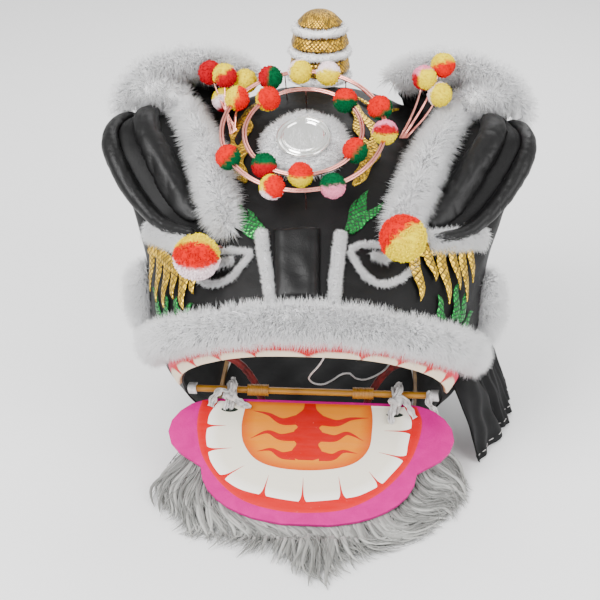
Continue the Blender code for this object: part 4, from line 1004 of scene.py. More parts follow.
@dataclass
class Face:
    """The plush nose bridge with its white strips, and the outlined patches beside it."""

    strip_coat: Coat = Coat(3000, 0.0065, 0.0010, (0, -0.1, 0), 0.45, 0.1, 0.0)
    patch_coat: Coat = Coat(3300, 0.0070, 0.0009, (0, -0.1, 0), 0.5, 0.1, 0.0)
    under_coat: Coat = Coat(4400, 0.016, 0.0012, (0, -0.35, -0.2))
    nose: list = field(default_factory=lambda: [(1.95, -0.022), (2.5, -0.024), (3.2, -0.027), (4.0, -0.032)])
    strips: dict = field(default_factory=lambda: {
        "left": [(1.90, -0.088), (2.63, -0.106), (3.17, -0.123), (3.90, -0.138)],
        "right": [(1.95, 0.060), (2.67, 0.062), (3.20, 0.066), (3.90, 0.072)]})
    patches: dict = field(default_factory=lambda: {
        # the outline of each patch, and the middle of its spot
        "left": ([(3.27, -0.165), (2.90, -0.200), (2.57, -0.247), (2.47, -0.313), (2.63, -0.380),
                  (2.90, -0.425), (3.20, -0.400), (3.37, -0.340), (3.38, -0.290), (3.36, -0.240),
                  (3.33, -0.200), (3.27, -0.165)], (3.05, -0.265)),
        "right": ([(3.40, 0.100), (2.97, 0.127), (2.67, 0.160), (2.53, 0.213), (2.67, 0.273), (2.93, 0.320),
                   (3.25, 0.345), (3.48, 0.300), (3.56, 0.247), (3.61, 0.193), (3.58, 0.140), (3.40, 0.100)],
                  (3.28, 0.205))})

    under_eyes: dict = field(default_factory=lambda: {
        "left": [(4.42, -0.690), (4.20, -0.590), (3.82, -0.467), (3.50, -0.375)],
        "right": [(4.42, 0.700), (4.40, 0.630), (4.28, 0.555), (4.14, 0.475), (4.02, 0.400)]})

    def build(self) -> None:
        """Makes the nose, the strips, the patches and the fur under the eyes."""
        self.bridge()
        for number, (word, side) in enumerate((("left", -1), ("right", 1))):
            piece = Piece(f"nose_strip_{word}_pile", Body.HEAD, [WHITE_FUR])
            self.fur_band(piece, self.strips[word], 0.0070, 0.010, self.strip_coat, 40 + number, 60)
            stand_for(piece, f"nose_strip_{word}", fur=True)
            self.patch(word, side, number)
            piece = Piece(f"under_eye_{word}_pile", Body.HEAD, [WHITE_FUR])
            self.fur_band(piece, self.under_eyes[word], 0.011, 0.010, self.under_coat, 70 + number, 50)
            stand_for(piece, f"under_eye_fur_{word}", fur=True)

    def bridge(self) -> None:
        """Makes the nose bridge: a band domed as the sixth power of the place across it."""
        s = np.linspace(0, 1, 70)
        ends = np.clip(np.minimum(s, 1 - s) / 0.10, 0, 1)
        tt, aa, c = HEAD.band(self.nose, 0.0335, 70, 40)
        swell = 0.014 * (1 - c**6) * (1 - (1 - ends[:, None]) ** 3) + 0.002
        top = HEAD.lifted(tt, aa, swell)
        top = top + HEAD.normal(tt, aa) * (ripple(top, 0.04, 12) * 0.0010)[..., None]
        piece = Piece("nose_bridge_padded", Body.HEAD, [BLACK_PLUSH])
        piece.loft(closed_band(top, HEAD.lifted(tt, aa, 0.0 * c)))
        obj = stand_for(piece, "nose_bridge")

    def patch(self, word: str, side: int, number: int) -> None:
        """Makes one outlined patch and the spot in it.

        Args:
            word: which side.
            side: 1 on the right, -1 on the left.
            number: moves its source of chance.
        """
        piece = Piece(f"eye_patch_{word}_pile", Body.HEAD, [WHITE_FUR])
        outline, (t, a) = self.patches[word]
        self.fur_band(piece, outline, 0.0030, 0.0035, self.patch_coat, 50 + number, 80)
        spot = [(t + 0.08, a - 0.030 * side), (t, a), (t - 0.05, a + 0.030 * side)]
        coat = Coat(700, 0.011, 0.0009, (0.3 * side, -0.1, -0.2), 0.8, 0.1)
        self.fur_band(piece, spot, 0.0030, 0.001, coat, 60 + number, 20)
        stand_for(piece, f"eye_patch_fur_{word}", fur=True)

    @staticmethod
    def fur_band(piece: Piece, route: list, half: float, height: float, coat: Coat, seed: int,
                 count: int) -> None:
        """Adds a rounded strip over the head with pile on it.

        Args:
            piece: takes it.
            route: (t, a) points of its middle line.
            half: half its width.
            height: its height off the head.
            coat: its pile.
            seed: the source of chance.
            count: places along it.
        """
        tt, aa, c = HEAD.band(route, half, count, 8)
        dome = height * np.sqrt(np.clip(1 - c**2, 0, 1)) + 0.0004
        top, normal = HEAD.lifted(tt, aa, dome), HEAD.normal(tt, aa)
        across = unit(np.gradient(HEAD.at(tt, aa), axis=1))
        leaned = unit(normal + across * (c * 0.9)[..., None])
        piece.loft(closed_band(top, HEAD.at(tt, aa)), paint=(1.0,) * 3)
        faces = halves(grid_faces(count, 8, ring=False))
        skin = Skin(top.reshape(-1, 3), leaned.reshape(-1, 3), faces)
        random = np.random.default_rng(seed)
        roots, normals = skin.sample(coat.count, skin.outside(), random)
        coat.grow(piece, roots, normals, random)


@dataclass
class Padding:
    """The stuffed black pieces, swollen by a cloth simulation: the eyelids and their rims."""

    names: tuple = ("lid_left", "lid_right", "lid_rim_left", "lid_rim_right")
    voxel: float = 0.005
    most: float = 0.006
    frames: int = 20
    pressure: float = 4.0

    def build(self) -> None:
        """Simulates and dresses every stuffed piece."""
        meshes = {name: finished_mesh(merged_copy(name), [
            ("SUBSURF", {"levels": 1, "render_levels": 1}),
            ("REMESH", {"mode": "VOXEL", "voxel_size": self.voxel}),
        ]) for name in self.names}
        meshes = self.swell(meshes)
        for name, mesh in meshes.items():
            self.dress(name, mesh)

    def swell(self, meshes: dict) -> dict:
        """Blows the meshes up as closed cloth, no point further than the cap.

        Args:
            meshes: the meshes at rest.

        Returns:
            The swollen ones.
        """
        rest = {name: Skin.of_mesh(mesh).points for name, mesh in meshes.items()}
        objects = {}
        for name, mesh in meshes.items():
            obj = linked("work", mesh)
            cloth = obj.modifiers.new("cloth", "CLOTH")
            cloth.settings.use_pressure = True
            cloth.settings.uniform_pressure_force = self.pressure
            cloth.settings.effector_weights.gravity = 0
            cloth.settings.tension_stiffness = 12
            cloth.point_cache.frame_end = self.frames
            objects[name] = obj
        for step in range(1, self.frames + 1):
            bpy.context.scene.frame_set(step)
        graph = bpy.context.evaluated_depsgraph_get()
        made = {}
        for name, obj in objects.items():
            mesh = bpy.data.meshes.new_from_object(obj.evaluated_get(graph))
            moved = Skin.of_mesh(mesh).points - rest[name]
            far = np.linalg.norm(moved, axis=1, keepdims=True)
            moved *= np.minimum(1, self.most / np.maximum(far, 1e-9))
            mesh.vertices.foreach_set("co", (rest[name] + moved).astype(np.float32).ravel())
            made[name] = mesh
            bpy.data.objects.remove(obj)
        bpy.context.scene.frame_set(1)
        return made

    def dress(self, name: str, mesh: bpy.types.Mesh) -> None:
        """Puts folds into a stuffed mesh and gives it its finish.

        Args:
            name: the solid that it stands for.
            mesh: its mesh.
        """
        mesh = finished_mesh(mesh, [("SMOOTH", {"factor": 0.5, "iterations": 2}),
                                    ("SUBSURF", {"levels": 1, "render_levels": 1})])
        skin = Skin.of_mesh(mesh)
        fold = np.abs(ripple(skin.points * [1, 0.5, 0.5], 0.030, 5)) ** 0.6 - 0.5
        skin.points += skin.normals * (fold * 0.0012)[:, None]
        piece = Piece(f"{name}_padded", Body.HEAD, [BLACK_PLUSH])
        piece.add(skin.points, faces_of(mesh))
        obj = piece.make(outward=False, smooth_angle=180)
        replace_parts(obj, name)


@dataclass
class HeadCover:
    """The black cloth over the head's frame, hollow inside."""

    rows: int = 100
    columns: int = 145

    def build(self) -> None:
        """Makes the cover: the outer surface with its creases, and the inner one a wall below it."""
        t = np.linspace(0, 11, self.rows)
        a = np.linspace(-2, 2, self.columns)
        tt, aa = np.meshgrid(t, a, indexing="ij")
        outer, normal = HEAD.at(tt, aa), HEAD.normal(tt, aa)
        crease = np.abs(ripple(outer * [1, 1, 0.6], 0.055, 3)) ** 0.7 * 0.0022
        pull = ripple(outer, 0.16, 8) * 0.0015
        fade = np.clip(np.minimum(tt, 11 - tt) * 2, 0, 1) * np.clip((2 - np.abs(aa)) * 5, 0, 1)
        inner = outer - normal * WALL
        outer = outer + normal * ((crease + pull - 0.0010) * fade)[..., None]
        inner[:, [0, -1], 2] = outer[:, [0, -1], 2]
        piece = Piece("head_cover", Body.HEAD, [BLACK_CLOTH])
        n, k = tt.shape
        piece.loft(closed_band(outer, inner), caps=False)
        m = np.arange(k - 1)
        edge = np.stack([m, m + 1, 2 * k - 2 - m, 2 * k - 1 - m], axis=-1)
        ends = np.concatenate([edge, edge + (n - 1) * 2 * k])
        piece.faces.append((ends, np.zeros(ends.shape + (2,)), 0))
        stand_for(piece, "head_shell")


@dataclass
class Ears:
    """The two ears: a pleated cloth panel from the head up to its fur rim."""

    count: int = 60
    rows: int = 30
    thickness: float = 0.003
    pleats: float = 6.5

    def build(self) -> None:
        """Makes both panels."""
        for word, side in SIDES.items():
            rim = smooth([(side * x, y + SHIFT[1], z) for x, y, z in EAR_RIM], self.count)
            route = smooth(EAR_BASE, self.count)
            base = HEAD.lifted(route[:, 0], route[:, 1] * side, self.thickness)
            top = rim + unit(base - rim) * 0.022
            v = np.linspace(0, 1, self.rows)[:, None]
            u = np.linspace(0, 1, self.count)[:, None]
            surface = base[:, None] * (1 - v) + top[:, None] * v
            surface[..., 1] += 0.020 * np.sin(math.pi * v[:, 0])
            surface += align(f"ear_{word}", surface)
            normal = unit(np.cross(np.gradient(surface, axis=0), np.gradient(surface, axis=1)))
            pleat = np.sin(2 * math.pi * self.pleats * u + 2.5 * v[:, 0]) * (0.3 + 0.7 * v[:, 0]) * 0.0035
            crush = ripple(surface, 0.035, 21) * 0.0025
            held = np.sin(math.pi * np.clip(v[:, 0], 0.05, 0.95))
            surface = surface + normal * ((pleat + crush) * held)[..., None]
            half = normal * self.thickness / 2
            piece = Piece(f"ear_{word}_cloth", Body.HEAD, [BLACK_CLOTH])
            piece.loft(closed_band(surface + half, surface - half))
            obj = stand_for(piece, f"ear_{word}")


@dataclass
class Lip:
    """The painted band round the upper mouth with the upper row of teeth."""

    teeth: int = 10
    half_width: float = 0.016
    count: int = 360
    columns: int = 16
    gum: str = "#c00010"
    pink: str = "#e02a58"
    tooth: str = "#e6d4b8"
    edge: str = "#b08a63"

    def build(self) -> None:
        """Makes the band and paints the teeth.

        A tooth is the part of the band below a rounded arch: its edge across the band is one less
        the sixth power of the place along the tooth, so wedges of gum stay between teeth."""
        route = [(t, -a) for t, a in reversed(LIP_PATH[1:])] + LIP_PATH
        place = np.linspace(-1, 1, self.count)
        half = self.half_width * (1 + 0.55 * np.abs(place) ** 4)
        tt, aa, c = HEAD.band(route, half, self.count, self.columns)
        toward_mouth = np.where(tt[:, :1] < tt[:, -1:], -c, c)
        down = (toward_mouth + 1) / 2
        along = (place[:, None] + 1) / 2 * self.teeth
        in_tooth = np.abs(2 * (along % 1) - 1)
        reach = (0.50 + 0.30 * np.abs(place[:, None]) ** 3) * (1 - in_tooth**6)
        inside = np.clip((down - (1 - reach)) / 0.05, 0, 1) * (in_tooth < 0.975)
        rim = np.clip((down - 0.965) / 0.03, 0, 1)
        colours = [np.array(linear(c)) for c in (self.gum, self.pink, self.tooth, self.edge)]
        rosy = np.clip(1 - down * 2.4, 0, 1)[..., None]
        paint = colours[0] * (1 - rosy) + colours[1] * rosy
        enamel = colours[2] * (0.86 + 0.2 * down[..., None])
        paint = paint * (1 - inside[..., None]) + enamel * inside[..., None]
        paint = paint * (1 - rim[..., None]) + colours[3] * rim[..., None]
        dome = np.sqrt(np.clip(1 - c**2, 0, 1)) * 0.004
        top = HEAD.lifted(tt, aa, 0.0015 + dome + 0.0012 * inside)
        bottom = HEAD.lifted(tt, aa, 0.0)
        piece = Piece("upper_lip_band", Body.HEAD, [GUM])
        piece.loft(closed_band(top, bottom), paint=np.concatenate([paint, paint[:, ::-1]], axis=1))
        stand_for(piece, "upper_lip")


@dataclass
class SequinTrim:
    """The sequin cloth: gold flames under a braid and green flames below them on the cheeks, gold
    crescents and green leaves on the forehead. Places are (t, a), as they lie on the head."""

    lift: float = 0.0020
    thick: float = 0.0012
    braids: dict = field(default_factory=lambda: {
        "left": [(2.97, -0.41), (3.10, -0.507), (3.37, -0.573), (3.73, -0.640), (3.93, -0.70)],
        "right": [(3.60, 0.347), (3.73, 0.413), (3.93, 0.493), (4.13, 0.560), (4.27, 0.620)]})
    gold: dict = field(default_factory=lambda: {
        # root, tip, width, sway
        "left": [((3.92, -0.69), (2.67, -0.735), 0.015, 0.30), ((3.72, -0.64), (2.25, -0.660), 0.016, 0.30),
                 ((3.46, -0.59), (2.00, -0.590), 0.017, 0.30), ((3.24, -0.54), (2.20, -0.515), 0.016, 0.30),
                 ((3.12, -0.49), (1.73, -0.447), 0.018, 0.30), ((3.02, -0.43), (2.25, -0.393), 0.015, 0.30)],
        "right": [((3.62, 0.355), (2.20, 0.365), 0.018, -0.30), ((3.74, 0.415), (2.80, 0.435), 0.016, -0.30),
                  ((3.92, 0.480), (2.27, 0.515), 0.018, -0.30), ((4.06, 0.535), (2.75, 0.580), 0.015, -0.30),
                  ((4.18, 0.590), (2.50, 0.640), 0.015, -0.30), ((4.27, 0.635), (3.10, 0.670), 0.013, -0.30)]})
    green: dict = field(default_factory=lambda: {
        "left": [((1.38, -0.62), (2.78, -0.745), 0.017, 0.35), ((1.34, -0.57), (2.40, -0.610), 0.016, 0.35),
                 ((1.36, -0.53), (2.25, -0.500), 0.015, -0.35), ((1.38, -0.49), (1.90, -0.405), 0.013, -0.35)],
        "right": [((1.70, 0.52), (2.45, 0.455), 0.015, 0.35), ((1.72, 0.56), (2.97, 0.600), 0.017, -0.35),
                  ((1.74, 0.60), (2.83, 0.680), 0.016, -0.35), ((1.60, 0.64), (2.30, 0.740), 0.014, -0.35)]})
    leaves: dict = field(default_factory=lambda: {
        "left": [((3.66, -0.145), (5.05, -0.290), 0.017, 0.25), ((3.68, -0.140), (4.62, -0.205), 0.015, 0.25),
                 ((3.72, -0.138), (4.42, -0.158), 0.011, -0.25)],
        "right": [((3.90, 0.100), (5.25, 0.170), 0.019, -0.25), ((3.92, 0.110), (5.00, 0.215), 0.015, 0.25),
                  ((3.95, 0.085), (4.95, 0.125), 0.012, -0.25)]})
    crescents: dict = field(default_factory=lambda: {
        # middle line, and the line of the black teardrop on it
        "left": ([(8.35, -0.245), (7.80, -0.295), (7.30, -0.305), (6.63, -0.300), (6.00, -0.275),
                  (5.45, -0.225)], [(7.45, -0.300), (7.10, -0.303), (6.70, -0.297)]),
        "right": ([(8.30, 0.080), (7.83, 0.122), (7.43, 0.152), (6.97, 0.170), (6.43, 0.168), (5.87, 0.150),
                   (5.35, 0.110)], [(7.55, 0.142), (7.20, 0.160), (6.80, 0.170)])})
    stripe: list = field(default_factory=lambda: [(8.40, 0.133), (8.13, 0.193), (8.03, 0.260), (8.40, 0.347)])

    def flame(self, piece: Piece, root: tuple, tip: tuple, width: float, sway: float, lift: float,
              full: float = 0.38) -> None:
        """Adds one pointed flame that lies on the head.

        Its middle line sways as a sine round the line from root to tip, and its half width rises
        quickly from the root, is widest at the given part of its length and falls to a point.

        Args:
            piece: takes the flame.
            root: its (t, a) place.
            tip: its point's (t, a) place.
            width: its greatest width.
            sway: how far the middle line sways, over the width.
            lift: its height off the head.
            full: where along it it is widest.
        """
        along = HEAD.at(*tip) - HEAD.at(*root)
        across = unit(np.cross(HEAD.normal(*root), along))
        s = np.linspace(0, 1, 26)
        power = math.log(0.5) / math.log(full)
        half = width / 2 * np.maximum(np.sin(math.pi * s**power), 0.0) ** 0.8
        half[0] = half[1]
        middle = sway * width * np.sin(2 * math.pi * s * 0.9)
        c = np.linspace(-1, 1, 6)
        shift = along * s[:, None, None] + across * (middle[:, None] + half[:, None] * c)[..., None]
        t, a = HEAD.slide(np.full(shift.shape[:2], root[0]), np.full(shift.shape[:2], root[1]), shift)
        dome = lift + self.thick * (1.4 - c**2)
        top = HEAD.lifted(t, a, np.broadcast_to(dome, t.shape))
        piece.loft(closed_band(top, HEAD.lifted(t, a, lift)), size=(float(np.linalg.norm(along)), 2 * width))

    def row(self, name: str, finish: Finish, flames: list, lift: float) -> Piece:
        """Flames in one piece.

        Args:
            name: the piece's name.
            finish: its finish.
            flames: each one's root, tip, width and sway.
            lift: their height off the head, a little more for each next one.

        Returns:
            The piece, not yet made.
        """
        piece = Piece(name, Body.HEAD, [finish])
        for number, (root, tip, width, sway) in enumerate(flames):
            self.flame(piece, root, tip, width, sway, lift + 0.0003 * (number % 2))
        return piece

    def build(self) -> None:
        """Makes every sequin piece on both sides."""
        for word in ("left", "right"):
            piece = self.row(f"gold_flames_{word}", GOLD, self.gold[word], 0.0060)
            tt, aa, c = HEAD.band(self.braids[word], 0.0095, 60, 6)
            dome = 0.0060 + 0.0024 * (1.2 - c**2)
            piece.loft(closed_band(HEAD.lifted(tt, aa, dome), HEAD.lifted(tt, aa, 0.0045)), size=(0.10, 0.04))
            stand_for(piece, f"gold_fringe_{word}")
            piece = self.row(f"green_flames_{word}", GREEN, self.green[word], 0.0030)
            stand_for(piece, f"cheek_flame_{word}")
            piece = self.row(f"forehead_leaves_{word}", GREEN, self.leaves[word], self.lift)
            stand_for(piece, f"forehead_flame_{word}")
            self.crescent(word)

    def strip(self, piece: Piece, route: list, half: Array, lift: float, finish: int = 0) -> None:
        """Adds a thin domed strip that follows a route.

        Args:
            piece: takes it.
            route: (t, a) points of its middle line.
            half: half its width at each place along it.
            lift: its height off the head.
            finish: which of the piece's finishes it has.
        """
        tt, aa, c = HEAD.band(route, half, len(half), 8)
        top = HEAD.lifted(tt, aa, lift + self.thick * (1.5 - c**2))
        piece.loft(closed_band(top, HEAD.lifted(tt, aa, lift - 0.001)), finish=finish)

    def crescent(self, word: str) -> None:
        """Makes one gold crescent with its black teardrop, and on the right the stripe above it."""
        route, drop = self.crescents[word]
        s = np.linspace(0.01, 0.99, 60)
        piece = Piece(f"crescent_{word}_sequins", Body.HEAD, [GOLD, BLACK_CLOTH])
        half = 0.0165 * np.sin(math.pi * s) ** 0.6 * (1 + 0.28 * np.sin(7 * math.pi * s))
        self.strip(piece, route, half, self.lift)
        self.strip(piece, drop, 0.0062 * np.sin(math.pi * s[::2] ** 1.7), self.lift + 0.0014, 1)
        if word == "right":
            self.strip(piece, self.stripe, 0.0045 * np.sin(math.pi * s) ** 0.4, self.lift)
        stand_for(piece, f"crescent_{word}")


@dataclass
class ForeheadMirror:
    """The round forehead mirror: a pressed bright dish with raised rims."""

    radius: float = 0.041
    steps: int = 72
    profile: list = field(default_factory=lambda: [
        # share of the radius, height
        (0.005, 0.0), (0.96, 0.0), (1.0, 0.0016), (1.0, 0.0040), (0.975, 0.0058), (0.93, 0.0062),
        (0.89, 0.0052), (0.86, 0.0040), (0.84, 0.0042), (0.81, 0.0056), (0.785, 0.0060), (0.76, 0.0052),
        (0.73, 0.0036), (0.70, 0.0032), (0.60, 0.0026), (0.40, 0.0021), (0.20, 0.0019), (0.005, 0.0018)])

    def build(self) -> None:
        """Turns the mirror's profile round the forehead's normal."""
        centre, axes = self.axes()
        profile = np.array(self.profile) * [self.radius, 1]
        turn = np.linspace(0, 2 * math.pi, self.steps, endpoint=False)
        spoke = np.cos(turn)[:, None] * axes[:, 0] + np.sin(turn)[:, None] * axes[:, 1]
        sections = profile[:, 0, None, None] * spoke + profile[:, 1, None, None] * axes[:, 2]
        sections = sections + centre
        sections = sections + align("mirror", sections)
        piece = Piece("mirror_dish", Body.HEAD, [CHROME])
        piece.loft(sections)
        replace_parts(piece.make(smooth_angle=180), "mirror")

    @staticmethod
    def axes() -> tuple[Array, Array]:
        """The mirror's middle on the head, and its across, up and outward axes as columns."""
        centre, normal = HEAD.at(*MIRROR_PLACE), HEAD.normal(*MIRROR_PLACE)
        across = unit(np.cross([0.0, 1.0, 0.0], normal))
        return centre, np.stack([across, np.cross(normal, across), normal], axis=1)


RED, YELLOW, LEAF, WHITE = (np.array(linear(c)) for c in ("#dc0400", "#f2da00", "#02552f", "#ffe9ee"))
CRIMSON, ROSE = (np.array(linear(c)) for c in ("#b60018", "#f58fae"))


@dataclass
class Pompoms:
    """The pompoms, wound from two or three colours of yarn, on rings and sprigs of lacquered wire."""

    radius: float = 0.0200
    large: float = 0.0352
    wire: float = 0.0019
    rings: dict = field(default_factory=lambda: {
        # node: radius, lift, leg places and the pompoms as place: sectors of (right, up, near, colour)
        "pompom_ring_inner": (0.088, 0.034, (90, 250, 290), {
            46: [(0, 1, 0.1, RED), (0, -1, 0.2, LEAF)], 130: [(0, 0, 1, RED), (-1, -0.2, -0.6, YELLOW)],
            232: [(0, 1, 0.1, LEAF), (0, -1, 0.1, CRIMSON)],
            270: [(0, 0.45, 0.7, RED), (0, -1, 0.1, YELLOW), (0, 0.1, -0.3, WHITE)],
            333: [(-0.7, 0.5, 0.4, RED), (0.8, -0.7, 0.2, LEAF)]}),
        "pompom_ring_outer": (0.122, 0.038, (60, 106, 274), {
            21: [(-0.3, 0.4, 0.8, RED), (0.8, -0.7, -0.2, LEAF)],
            74: [(0, 1, 0.2, WHITE), (0, -0.6, 0.5, YELLOW)],
            95: [(0, 0, 1, YELLOW), (-1, 0.6, -0.6, WHITE)],
            117: [(-0.9, 0.3, 0.2, CRIMSON), (0.7, 0, 0.5, LEAF)],
            148: [(-0.9, 0.3, 0.3, YELLOW), (0.9, 0, 0.4, RED)],
            208: [(-0.6, 0.6, 0.5, RED), (0.8, -0.6, 0.2, LEAF)],
            251: [(0.25, 0.05, 0.9, RED), (-0.6, -0.5, -0.3, WHITE), (-0.9, 0.5, -0.2, YELLOW)],
            293: [(0, 1, 0.4, LEAF), (0.2, -1, 0.1, ROSE)],
            357: [(0, 1, 0.0, ROSE), (0, 0.2, 0.6, CRIMSON), (0, -1, 0.1, YELLOW)]}),
    })
    sprigs: dict = field(default_factory=lambda: {
        # node: side, and each pompom's place and sectors
        "pompom_sprig_right": (1, [
            ((0.160, -0.016, 0.590), [
                (0.2, -0.2, 0.8, YELLOW), (-0.5, 0.9, 0, ROSE), (-0.9, -0.2, -0.1, CRIMSON)]),
            ((0.188, 0.004, 0.604), [(0.2, 0.7, 0.2, YELLOW), (0.5, -0.7, 0.3, RED)]),
            ((0.184, -0.022, 0.566), [(0, 0, 1, YELLOW), (-0.8, 0.6, -0.3, WHITE)])]),
        "pompom_sprig_left": (-1, [
            ((0.146, -0.012, 0.586), [
                (-0.5, 0.8, 0.1, YELLOW), (0.1, 0.1, 0.1, WHITE), (0.5, -0.8, 0.4, CRIMSON)]),
            ((0.116, 0.004, 0.572), [(0, 0, 1, YELLOW)]),
            ((0.150, 0.004, 0.541), [
                (-0.3, 0.9, 0.1, YELLOW), (-0.2, -0.2, 0.4, WHITE), (0.7, -0.8, 0.2, CRIMSON)]),
            ((0.172, 0.018, 0.580), [(0, 0, 1, CRIMSON)])]),
    })
    big: dict = field(default_factory=lambda: {
        # node: centre, the foot of its wire, and its sectors
        "big_pompom_left": ((-0.161, -0.284, 0.408), (3.45, -0.285), [
            (0.1, 0.9, 0.1, YELLOW), (0, 0.1, 0.75, RED), (0, -0.9, 0.1, WHITE)]),
        "big_pompom_right": ((0.1315, -0.2765, 0.4425), (3.55, 0.255), [
            (-0.7, 0.7, 0.1, RED), (0.4, -0.5, 0.5, YELLOW)]),
    })

    def ball(self, piece: Piece, centre: Array, radius: float, sectors: list, seed: int,
             count: int = 540) -> None:
        """Adds a pompom: a ball skin and short yarn ends in its colours.

        The colour at a point is that of the sector whose direction is most along the normal, with a
        narrow soft edge and a little waver.

        Args:
            piece: takes the pompom.
            centre: its middle.
            radius: its radius over the pile.
            sectors: each one's direction, as right, up and towards the camera, and its colour.
            seed: the source of chance.
            count: how many yarn ends it has.
        """
        random = np.random.default_rng(seed)
        view = view_axes()

        def colour(normal: Array) -> Array:
            """The yarn's colour where the ball looks along each normal."""
            ways = np.array([s[:3] for s in sectors], float) @ view.T
            waver = 0.10 * ripple(normal * 0.03, 0.03, seed)[:, None] * np.arange(len(sectors))
            score = normal @ ways.T + waver
            weight = np.exp((score - score.max(axis=1, keepdims=True)) * 42)
            mixed = weight @ np.array([s[3] for s in sectors])
            return mixed / weight.sum(axis=1, keepdims=True)

        polar = np.linspace(0.02, math.pi - 0.02, 11)
        turn = np.linspace(0, 2 * math.pi, 16, endpoint=False)
        normal = np.stack([np.sin(polar)[:, None] * np.cos(turn), np.sin(polar)[:, None] * np.sin(turn),
                           np.cos(polar)[:, None] + 0 * turn], axis=-1)
        inner = radius * 0.90
        # The ball under the yarn ends gets 0.85 of their colour: painted shade under the pile.
        piece.loft(centre + inner * normal, paint=colour(normal.reshape(-1, 3)).reshape(normal.shape) * 0.85)
        way = unit(random.normal(size=(count, 3)))
        coat = Coat(count, radius * 0.105, radius * 0.115, (0, 0, 0), 0.25, 0.1, 0.0)
        coat.grow(piece, centre + way * inner, way, random, 0, colour(way))

    def build(self) -> None:
        """Makes the rings, the sprigs and the two large pompoms."""
        middle, axes = ForeheadMirror.axes()

        def spoke(degrees: Array) -> Array:
            """The direction in the mirror's plane at an angle from its right."""
            turn = np.radians(degrees)
            return np.cos(turn)[..., None] * axes[:, 0] + np.sin(turn)[..., None] * axes[:, 1]

        for number, (node, (radius, lift, legs, balls)) in enumerate(self.rings.items()):
            piece = Piece(f"{node}_dressed", Body.HEAD, [YARN, COPPER])
            centre = middle + axes[:, 2] * lift
            shift = unit(np.array([0, 0.03, 0.25]) + SHIFT - centre) * 0.003
            turn = np.arange(0, 360, 3.0)
            for offset in (-1, 1):
                path = centre + shift + (radius + offset * self.wire) * spoke(turn)
                piece.loft(tube(path, self.wire, 8, loop=True, up=axes[:, 2]), loop=True, finish=1)
            for degrees in legs:
                way = spoke(np.array([float(degrees)]))[0] * radius
                t, a = HEAD.slide(np.array([MIRROR_PLACE[0]]), np.array([MIRROR_PLACE[1]]), way[None])
                path = np.linspace(HEAD.at(t, a)[0], centre + shift + way, 6)
                piece.loft(tube(path, self.wire * 0.5, 6, up=(1, 0, 0)), finish=1)
            for seed, (degrees, sectors) in enumerate(balls.items()):
                place = centre + shift + radius * spoke(np.array(float(degrees)))
                self.ball(piece, place, self.radius, sectors, 300 + 20 * number + seed)
            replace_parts(piece.make(outward=False), node)
        for number, (node, (side, balls)) in enumerate(self.sprigs.items()):
            piece = Piece(f"{node}_dressed", Body.HEAD, [YARN, COPPER])
            places = np.array([(side * p[0], p[1], p[2]) for p, _ in balls]) + SHIFT
            foot = HEAD.lifted(7.2, 0.34 * side, 0.001)
            for seed, (place, (_, sectors)) in enumerate(zip(places, balls)):
                self.ball(piece, place, self.radius, sectors, 400 + 20 * number + seed)
                for offset in (-0.0012, 0.0012):
                    start = foot + np.array([offset + 0.004 * (seed - 1), 0, 0])
                    route = smooth([start, start * 0.5 + place * 0.5 + [0.004 * side, 0, 0], place], 12)
                    piece.loft(tube(route, self.wire * 0.6, 6, up=(0, 1, 0)), finish=1)
            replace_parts(piece.make(outward=False), node)
        for seed, (node, (centre, foot_place, sectors)) in enumerate(self.big.items()):
            piece = Piece(f"{node}_dressed", Body.HEAD, [YARN, COPPER])
            centre = np.array(centre) + SHIFT
            self.ball(piece, centre, self.large, sectors, 500 + seed, 1300)
            foot = HEAD.at(*foot_place)
            route = smooth([foot, HEAD.lifted(*foot_place, 0.014), (centre + foot) / 2, centre], 14)
            for offset in (-0.0012, 0.0012):
                piece.loft(tube(route + [offset, 0, 0], self.wire * 0.6, 6, up=(0, 1, 0)), finish=1)
            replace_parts(piece.make(outward=False), node)


@dataclass
class Horn:
    """The horn: gold sequin mesh over a turned form, pulled in where the fur rings sit."""

    steps: int = 72
    profile: list = field(default_factory=lambda: [
        # radius, height
        (0.0002, 0.0), (0.0395, 0.0), (0.0395, 0.016), (0.0480, 0.0200), (0.0470, 0.030), (0.0450, 0.039),
        (0.0375, 0.0424), (0.0375, 0.0576), (0.0462, 0.0610), (0.0440, 0.070), (0.0415, 0.0770),
        (0.0325, 0.0800), (0.0325, 0.0940), (0.0360, 0.0965), (0.0320, 0.1010), (0.0260, 0.1080),
        (0.0160, 0.1140), (0.0060, 0.1158), (0.0002, 0.1160)])

    def build(self) -> None:
        """Turns the horn's profile, its bellies rounded between the grooves."""
        low, high = corners_of("horn")
        centre = np.array([(low[0] + high[0]) / 2, (low[1] + high[1]) / 2, low[2]])
        profile = smooth(self.profile, 60)
        turn = np.linspace(0, 2 * math.pi, self.steps, endpoint=False)
        dent = 1 + 0.02 * np.sin(5 * turn + 1.0) + 0.012 * np.sin(9 * turn)
        radius = profile[:, 0, None] * (1 + (dent - 1) * (profile[:, 0, None] > 0.03))
        height = profile[:, 1, None] + 0 * turn
        sections = np.stack([radius * np.cos(turn), radius * np.sin(turn), height], axis=-1)
        piece = Piece("horn_sequins", Body.HEAD, [HORN_GOLD])
        piece.loft(sections + centre, size=(0.20, 0.27))
        stand_for(piece, "horn")


def on_board(x: Any, r: Any, h: Any = 0.0) -> Array:
    """Points on or off the jaw board.

    Args:
        x: places along the bar.
        r: how far forward from the bar, along the board.
        h: how far above the bar's middle, square to the board.

    Returns:
        Points in the frame, with x, y and z last.
    """
    x, r, h = np.broadcast_arrays(np.asarray(x, float), np.asarray(r, float), np.asarray(h, float))
    y = BAR_Y - r * math.cos(JAW_SLOPE) - h * math.sin(JAW_SLOPE)
    z = BAR_Z - r * math.sin(JAW_SLOPE) + h * math.cos(JAW_SLOPE)
    return np.stack([x, y, z], axis=-1)


